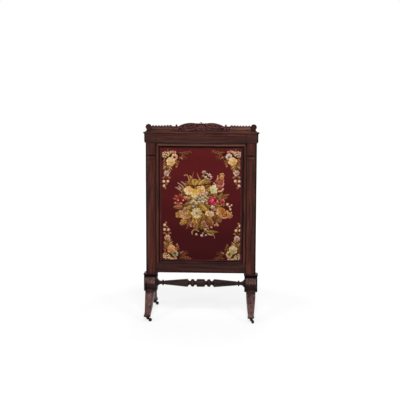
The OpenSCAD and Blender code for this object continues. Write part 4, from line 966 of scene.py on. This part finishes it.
def woolStitch(name):
    # Wool worked in slanting stitches: dull, with a fine nap that catches light at the edges
    material, add, place = startMaterial(name)
    split = add("SeparateXYZ", {0: place}).outputs
    pitch = 2 * math.pi / (needlework["stitch"] * mm)
    waves = []
    for x, z in ((1, -0.45), (0.1, 1)):
        across = add("Math", {0: split["X"], 1: pitch * x}, operation="MULTIPLY")
        upward = add("Math", {0: split["Z"], 1: pitch * z, 2: across}, operation="MULTIPLY_ADD")
        waves.append(add("Math", {0: upward}, operation="SINE"))
    slant = add("Math", dict(enumerate(waves)), operation="ADD")
    hairs = add("TexNoise", {"Vector": place, "Scale": 1 / (needlework["hair"] * mm), "Detail": 2.0})
    height = add("Math", {0: slant, 1: hairs}, operation="ADD")
    bump = add("Bump", {"Height": height, "Strength": 0.7, "Distance": needlework["relief"] * mm})
    # Painted shade in the grooves between the slanting stitches, a little lighter on their crowns
    stitchGrooveShade = add("MapRange", {0: slant, "From Min": -1.6, "From Max": 0.2, "To Min": 0.55, "To Max": 1.04})
    wool = add("Attribute", attribute_name="stitchColour")
    shaded = add("VectorMath", {0: wool, "Scale": stitchGrooveShade}, operation="SCALE")
    return endMaterial(material, add, {"Base Color": shaded, "Roughness": 0.92, "Specular IOR Level": 0.05,
                                       "Sheen Weight": 0.04, "Sheen Roughness": 0.5, "Normal": bump})


def makeNeedlework():
    low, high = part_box("needlework")
    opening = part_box("gimp_braid")
    chart = Chart(low, high, (opening[0] + opening[1]) / 2)
    chartGround(chart)
    for side, up in cornerFlowers:
        chartCorner(chart, side, up)
    chartBouquet(chart)
    dye = 1 + chart.random.normal(0, needlework["uneven"], chart.u.shape)
    chart.colour *= needlework["warmth"] * dye[..., None]
    n, m = chart.columns, chart.rows
    across = np.linspace(low.x, high.x, n + 1)
    upward = np.linspace(low.z, high.z, m + 1)
    raised = np.zeros((m + 1, n + 1))
    for dv in (0, 1):
        for du in (0, 1):
            raised[dv:m + dv, du:n + du] += chart.raised / 4
    front = high.y - needlework["thick"] * mm
    floor = low.y + (needlework["raised"] + needlework["clear"]) * mm
    grid = np.stack(np.meshgrid(across, upward), -1).reshape(-1, 2)
    depth = (max(front, floor) - raised * needlework["raised"] * mm).reshape(-1)
    points = np.column_stack([grid[:, 0], depth, grid[:, 1]])
    faces = gridFaces(m + 1, n + 1)
    obj = meshPiece("needleworkPanel", points, faces, woolStitch("woolCrossStitch"), "slide")
    colours = np.ones((len(faces) * 4, 4), np.float32)
    colours[:, :3] = np.repeat(np.clip(chart.colour.reshape(-1, 3), 0, 1), 4, axis=0)
    layer = obj.data.color_attributes.new("stitchColour", "FLOAT_COLOR", "CORNER")
    layer.data.foreach_set("color", colours.reshape(-1))
    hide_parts("needlework")


makeNeedlework()
print("needlework stitched")

# Silk gimp: two cords plaited over a flat strip, glued down to hide the raw
# edge of the canvas

gimp = {
    "pitch": 5.2,           # mm from crossing to crossing and back
    "cord": 0.75,           # mm radius of a cord
    "swing": 2.0,           # mm that a cord swings to each side
    "over": 0.3,            # mm that it rises to cross the other
    "strip": 5.4,           # mm wide
    "margin": 0.3,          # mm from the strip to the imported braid's edge
    "back": (0.2, 0.15),    # mm that the edge cords and the strip's face lie behind the plait's middle
    "corner": 3.0,          # mm radius at a corner
    "steps": 8,             # rings for each pitch
    "sides": 6,
    "edgeCord": 0.32,       # mm radius of the cords along both edges
    "thread": 1.496,        # mm from thread to thread of the twist, drawn coarse enough to show
    "threadDepth": 0.1,     # mm
    "fading": 55.56,        # mm across the faded places
}


def roundedPath(low, high, radius, spacing):
    # Even steps around a rectangle with round corners, with the way out at each
    corners = [(high.x - radius, high.z - radius, 0), (low.x + radius, high.z - radius, 90),
               (low.x + radius, low.z + radius, 180), (high.x - radius, low.z + radius, 270)]
    places, outward = [], []
    for x, z, start in corners:
        for k in range(7):
            a = math.radians(start + 15 * k)
            places.append((x + radius * math.cos(a), z + radius * math.sin(a)))
            outward.append(a)
    places, outward = np.array(places + places[:1]), np.array(outward + [outward[0] + 2 * math.pi])
    steps = np.r_[0, np.cumsum(np.hypot(*np.diff(places, axis=0).T))]
    count = int(round(steps[-1] / spacing))
    at = np.arange(count) * steps[-1] / count
    angle = np.interp(at, steps, outward)
    place = np.column_stack([np.interp(at, steps, places[:, k]) for k in (0, 1)])
    return place, np.column_stack([np.cos(angle), np.sin(angle)])


def loopTube(centres, aside, upright, radius, sides):
    # A closed tube: a ring of points around each centre, in the plane of the two ways given
    turn = np.arange(sides) * 2 * math.pi / sides
    across, up = np.cos(turn)[None, :, None], np.sin(turn)[None, :, None]
    ring = across * aside[:, None, :] + up * upright[:, None, :]
    points = (centres[:, None, :] + ring * np.asarray(radius).reshape(-1, 1, 1)).reshape(-1, 3)
    return points, gridFaces(len(centres), sides, True, True)


def twistedSilk(name):
    # Silk cord, tightly twisted: a soft shine, slanting threads in painted shade and highlight,
    # crimson like the ground
    material, add, place = startMaterial(name)
    twist = 2 * math.pi / 10 / (gimp["thread"] * mm)
    threads = add("TexWave", {"Vector": place, "Scale": twist, "Distortion": 1.5, "Detail": 2.0},
                  bands_direction="DIAGONAL").outputs[1]
    fading = add("TexNoise", {"Vector": place, "Scale": 1 / (gimp["fading"] * mm), "Detail": 4.0})
    tint = setRamp(add("ValToRGB", {0: fading}), [(0.35, "#4c1517"), (0.65, "#682427")])
    # Painted shade between the twisted threads and a painted highlight on them
    lines = add("MapRange", {0: threads, "To Min": 0.55, "To Max": 1.1})
    colour = add("VectorMath", {0: tint, "Scale": lines}, operation="SCALE")
    bump = add("Bump", {"Height": threads, "Strength": 0.5, "Distance": gimp["threadDepth"] * mm})
    return endMaterial(material, add, {"Base Color": colour, "Roughness": 0.55, "Specular IOR Level": 0.25,
                                       "Normal": bump})


def makeGimp():
    g = gimp
    low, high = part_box("gimp_braid")
    inset = Vector((1, 0, 1)) * (g["strip"] / 2 + g["margin"]) * mm
    middle, out = roundedPath(low + inset, high - inset, g["corner"] * mm, g["pitch"] / g["steps"] * mm)
    n = len(middle)
    phase = np.arange(n) * 2 * math.pi * round(n / g["steps"]) / n
    outward = np.column_stack([out[:, 0], np.zeros(n), out[:, 1]])
    toFront = np.tile([0.0, -1.0, 0.0], (n, 1))
    face = (low.y + high.y) / 2
    pieces = []

    def line(y, out):
        return np.column_stack([middle[:, 0], y * np.ones(n), middle[:, 1]]) + outward * out

    for k in (0, 1):
        swing = np.sin(phase + k * math.pi) * g["swing"] * mm
        over = np.cos(2 * phase + k * math.pi) * g["over"] * mm
        middleLine = line(face - over, swing[:, None])
        pieces.append(loopTube(middleLine, outward, toFront, g["cord"] * mm, g["sides"]))
    half = g["strip"] / 2 * mm
    cords, flat = (face + back * mm for back in g["back"])
    for edge in (-half, half):
        pieces.append(loopTube(line(cords, edge), outward, toFront, g["edgeCord"] * mm, 5))
    strip = [line(flat, -half), line(flat, half), line(high.y, half), line(high.y, -half)]
    pieces.append((np.stack(strip, 1).reshape(-1, 3), gridFaces(n, 4, True, True)))
    starts = np.cumsum([0] + [len(points) for points, faces in pieces])
    points = np.vstack([points for points, faces in pieces])
    faces = np.vstack([faces + start for (points, faces), start in zip(pieces, starts)])
    obj = meshPiece("gimpPlait", points, faces, twistedSilk("silkCordTwisted"), "slide")
    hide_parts("gimp_braid")


makeGimp()
print("gimp plaited")

# Back: unbleached linen strained over the deal frame and held by a row of tacks

backing = {
    "cell": 6.0,            # mm of mesh
    "thick": 0.35,          # mm
    "sag": 0.32,            # mm that the cloth's middle sinks
    "sink": (30, 90),       # mm from the edge where that begins, and over which it grows
    "dimple": (0.35, 9),    # mm that a tack presses the cloth in, and how far round it
    "scallop": (0.35, 21, 40),      # mm that it stands off between tacks, how far from them, how far in
    "tackEvery": 42.0,      # mm
    "tackHead": 3.0,        # mm radius
    "tackDome": (-0.3, 1.4),        # mm from the cloth at which a tack's dome starts, and its height
    "edge": 7.0,            # mm from a tack to the edge of the cloth
    "thread": 0.9,          # mm from thread to thread, drawn coarse enough to show
    "threadDepth": 0.15,    # mm
    "slub": 2.0,            # mm across a thick thread, drawn coarse enough to show
    "stain": 166.7,         # mm across an age mark
}


def plainLinen(name):
    # Unbleached linen in plain weave: matt, with uneven threads and brown age marks
    b = backing
    material, add, place = startMaterial(name)
    split = add("SeparateXYZ", {0: place}).outputs
    waves = []
    for axis in ("X", "Z"):
        run = add("Math", {0: split[axis], 1: 2 * math.pi / (b["thread"] * mm)}, operation="MULTIPLY")
        waves.append(add("Math", {0: run}, operation="SINE"))
    weave = add("Math", dict(enumerate(waves)), operation="MULTIPLY")
    slubs = add("Mapping", {"Vector": place, "Scale": (1, 1, 0.04)})
    uneven = add("TexNoise", {"Vector": slubs, "Scale": 1 / (b["slub"] * mm), "Detail": 2.0})
    stain = add("TexNoise", {"Vector": place, "Scale": 1 / (b["stain"] * mm), "Detail": 6.0,
                             "Roughness": 0.6})
    both = add("Math", {0: uneven, 1: 0.3, 2: stain}, operation="MULTIPLY_ADD")
    tint = setRamp(add("ValToRGB", {0: both}), [(0.42, "#7c6850"), (0.66, "#917d63"), (0.90, "#a69478")])
    shadow = add("MapRange", {0: weave, "From Min": -1.0, "From Max": 1.0, "To Min": 0.8, "To Max": 1.05})
    colour = add("VectorMath", {0: tint, "Scale": shadow}, operation="SCALE")
    bump = add("Bump", {"Height": weave, "Strength": 0.5, "Distance": b["threadDepth"] * mm})
    return endMaterial(material, add, {"Base Color": colour, "Roughness": 0.92, "Specular IOR Level": 0.1,
                                       "Normal": bump})


def tackPlaces(low, high):
    b = backing
    inset, every = b["edge"] * mm, b["tackEvery"] * mm
    left, right, bottom, top = low.x + inset, high.x - inset, low.z + inset, high.z - inset
    across = np.linspace(left, right, int((right - left) / every) + 1)
    upward = np.linspace(bottom, top, int((top - bottom) / every) + 1)[1:-1]
    return [(x, z) for z in (bottom, top) for x in across] + [(x, z) for x in (left, right) for z in upward]


def makeTacks():
    head, sides = backing["tackHead"] * mm, 12
    start, rise = backing["tackDome"]
    low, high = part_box("backing_cloth")
    profile = ((1.0, 0.0), (0.92, 0.32), (0.62, 0.62), (0.22, 0.78))
    turn = np.arange(sides) * 2 * math.pi / sides
    x, y, z = head * np.cos(turn), np.ones(sides), head * np.sin(turn)
    tack = np.vstack([np.column_stack([r * x, y * (high.y + (start + rise * h) * mm), r * z])
                      for r, h in profile])
    rings = gridFaces(len(profile), sides, False, True)[:, (1, 0, 3, 2)].tolist()
    rings += [list(range(len(tack) - 1, len(tack) - sides - 1, -1)), list(range(sides))]
    points, faces = [], []
    for tx, tz in tackPlaces(low, high):
        faces += [[k + len(points) for k in ring] for ring in rings]
        points += (tack + (tx, 0, tz)).tolist()
    meshPiece("backTacks", points, faces, steel, "slide")


def makeBacking():
    b = backing
    low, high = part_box("backing_cloth")
    n, m = (int((high[k] - low[k]) / (b["cell"] * mm)) for k in (0, 2))
    x, z = np.meshgrid(np.linspace(low.x, high.x, n + 1), np.linspace(low.z, high.z, m + 1))
    tacks = np.array(tackPlaces(low, high))
    near = np.min(np.hypot(x[..., None] - tacks[:, 0], z[..., None] - tacks[:, 1]), axis=-1) / mm
    inward = np.minimum.reduce([x - low.x, high.x - x, z - low.z, high.z - z]) / mm
    press, around = b["dimple"]
    pull = np.exp(-(near / around) ** 2) * press
    stand, between, fromEdge = b["scallop"]
    scallop = np.clip(1 - inward / fromEdge, 0, 1) * np.clip(near / between, 0, 1) * stand
    start, reach = b["sink"]
    sag = b["sag"] * np.clip((inward - start) / reach, 0, 1) * (0.85 + 0.15 * np.sin(x * 38 + z * 9))
    y = high.y + (scallop - pull - sag) * mm
    front = np.stack([x, y, z], -1).reshape(-1, 3)
    rear = front - np.array([0, b["thick"] * mm, 0])
    outer = gridFaces(m + 1, n + 1)[:, (0, 3, 2, 1)]
    count = len(front)
    edge = list(range(0, n)) + [k * (n + 1) + n for k in range(m)]
    edge += [m * (n + 1) + n - k for k in range(n)] + [(m - k) * (n + 1) for k in range(m)]
    rim = [(one, other, other + count, one + count) for one, other in zip(edge, edge[1:] + edge[:1])]
    faces = np.vstack([outer, outer[:, ::-1] + count, np.array(rim)])
    obj = meshPiece("backLinen", np.vstack([front, rear]), faces, plainLinen("linenPlainWeave"), "slide")
    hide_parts("backing_cloth")


makeTacks()
makeBacking()
print("back covered and tacked")

# Stage: a pale floor that keeps the shadow, a white surround and soft lamps

stage = {
    "floor": 16.0,          # metres across
    "paper": 0.3,           # how pale the floor is to the light that falls on it
    "floorWhite": 0.765,    # what the camera sees of it beyond that light, under the object
    "farWhite": 1.0,        # and the same far from the object, where it meets the surround
    "fade": (0.7, 1.6),     # metres from the middle between which it changes
    "fill": 0.22,           # strength of the surround on the object
    "lamps": (
        # name, place, size in metres, power in watts
        ("topLamp", (0.35, -2.8, 3.5), 1.2, 66),
        ("leftLamp", (-2.5, -3.2, 2.0), 1.4, 42),
        ("rightLamp", (2.6, -3.2, 2.0), 1.4, 42),
        ("backLamp", (0.0, 3.2, 3.0), 2.4, 45),
    ),
    "aim": (0, 0, 0.6),
}


def backgroundRays(add):
    # 1 for rays that should meet the white background itself
    ray = add("LightPath").outputs
    seen = add("Math", {0: ray["Is Camera Ray"], 1: ray["Is Glossy Ray"]}, operation="MAXIMUM")
    return add("Math", {0: seen, 1: ray["Is Transmission Ray"]}, operation="MAXIMUM")


def makeFloor():
    s = stage
    half = s["floor"] / 2
    mesh = bpy.data.meshes.new("floor")
    corners = [(-half, -half, 0), (half, -half, 0), (half, half, 0), (-half, half, 0)]
    mesh.from_pydata(corners, [], [(0, 1, 2, 3)])
    floor = bpy.data.objects.new("floor", mesh)
    bpy.context.scene.collection.objects.link(floor)
    material, add, place = startMaterial("paperFloor")
    paper = add("BsdfDiffuse", {"Color": (s["paper"], s["paper"], s["paper"], 1)})
    far = add("VectorMath", {0: place}, operation="LENGTH").outputs["Value"]
    level = add("MapRange", {0: far, "From Min": s["fade"][0], "From Max": s["fade"][1],
                             "To Min": s["floorWhite"], "To Max": s["farWhite"]})
    glow = add("Math", {0: backgroundRays(add), 1: level}, operation="MULTIPLY")
    white = add("Emission", {"Color": (1, 1, 1, 1), "Strength": glow})
    add("OutputMaterial", {"Surface": add("AddShader", {0: paper, 1: white})})
    mesh.materials.append(material)


def makeSurround():
    world = bpy.data.worlds.new("surround")
    world.use_nodes = True
    world.node_tree.nodes.clear()
    add = partial(addNode, world.node_tree)
    strength = add("MapRange", {0: backgroundRays(add), "To Min": stage["fill"], "To Max": 1.0})
    add("OutputWorld", {"Surface": add("Background", {"Color": (1, 1, 1, 1), "Strength": strength})})
    bpy.context.scene.world = world
    bpy.context.scene.view_settings.view_transform = "Standard"


def makeLamps():
    for name, place, size, power in stage["lamps"]:
        light = bpy.data.lights.new(name, "AREA")
        light.shape = "DISK"
        light.size, light.energy = size, power
        lamp = bpy.data.objects.new(name, light)
        lamp.location = place
        lamp.rotation_mode = "QUATERNION"
        lamp.rotation_quaternion = (Vector(stage["aim"]) - Vector(place)).to_track_quat("-Z", "Y")
        bpy.context.scene.collection.objects.link(lamp)


makeFloor()
makeSurround()
makeLamps()
print("stage lit")
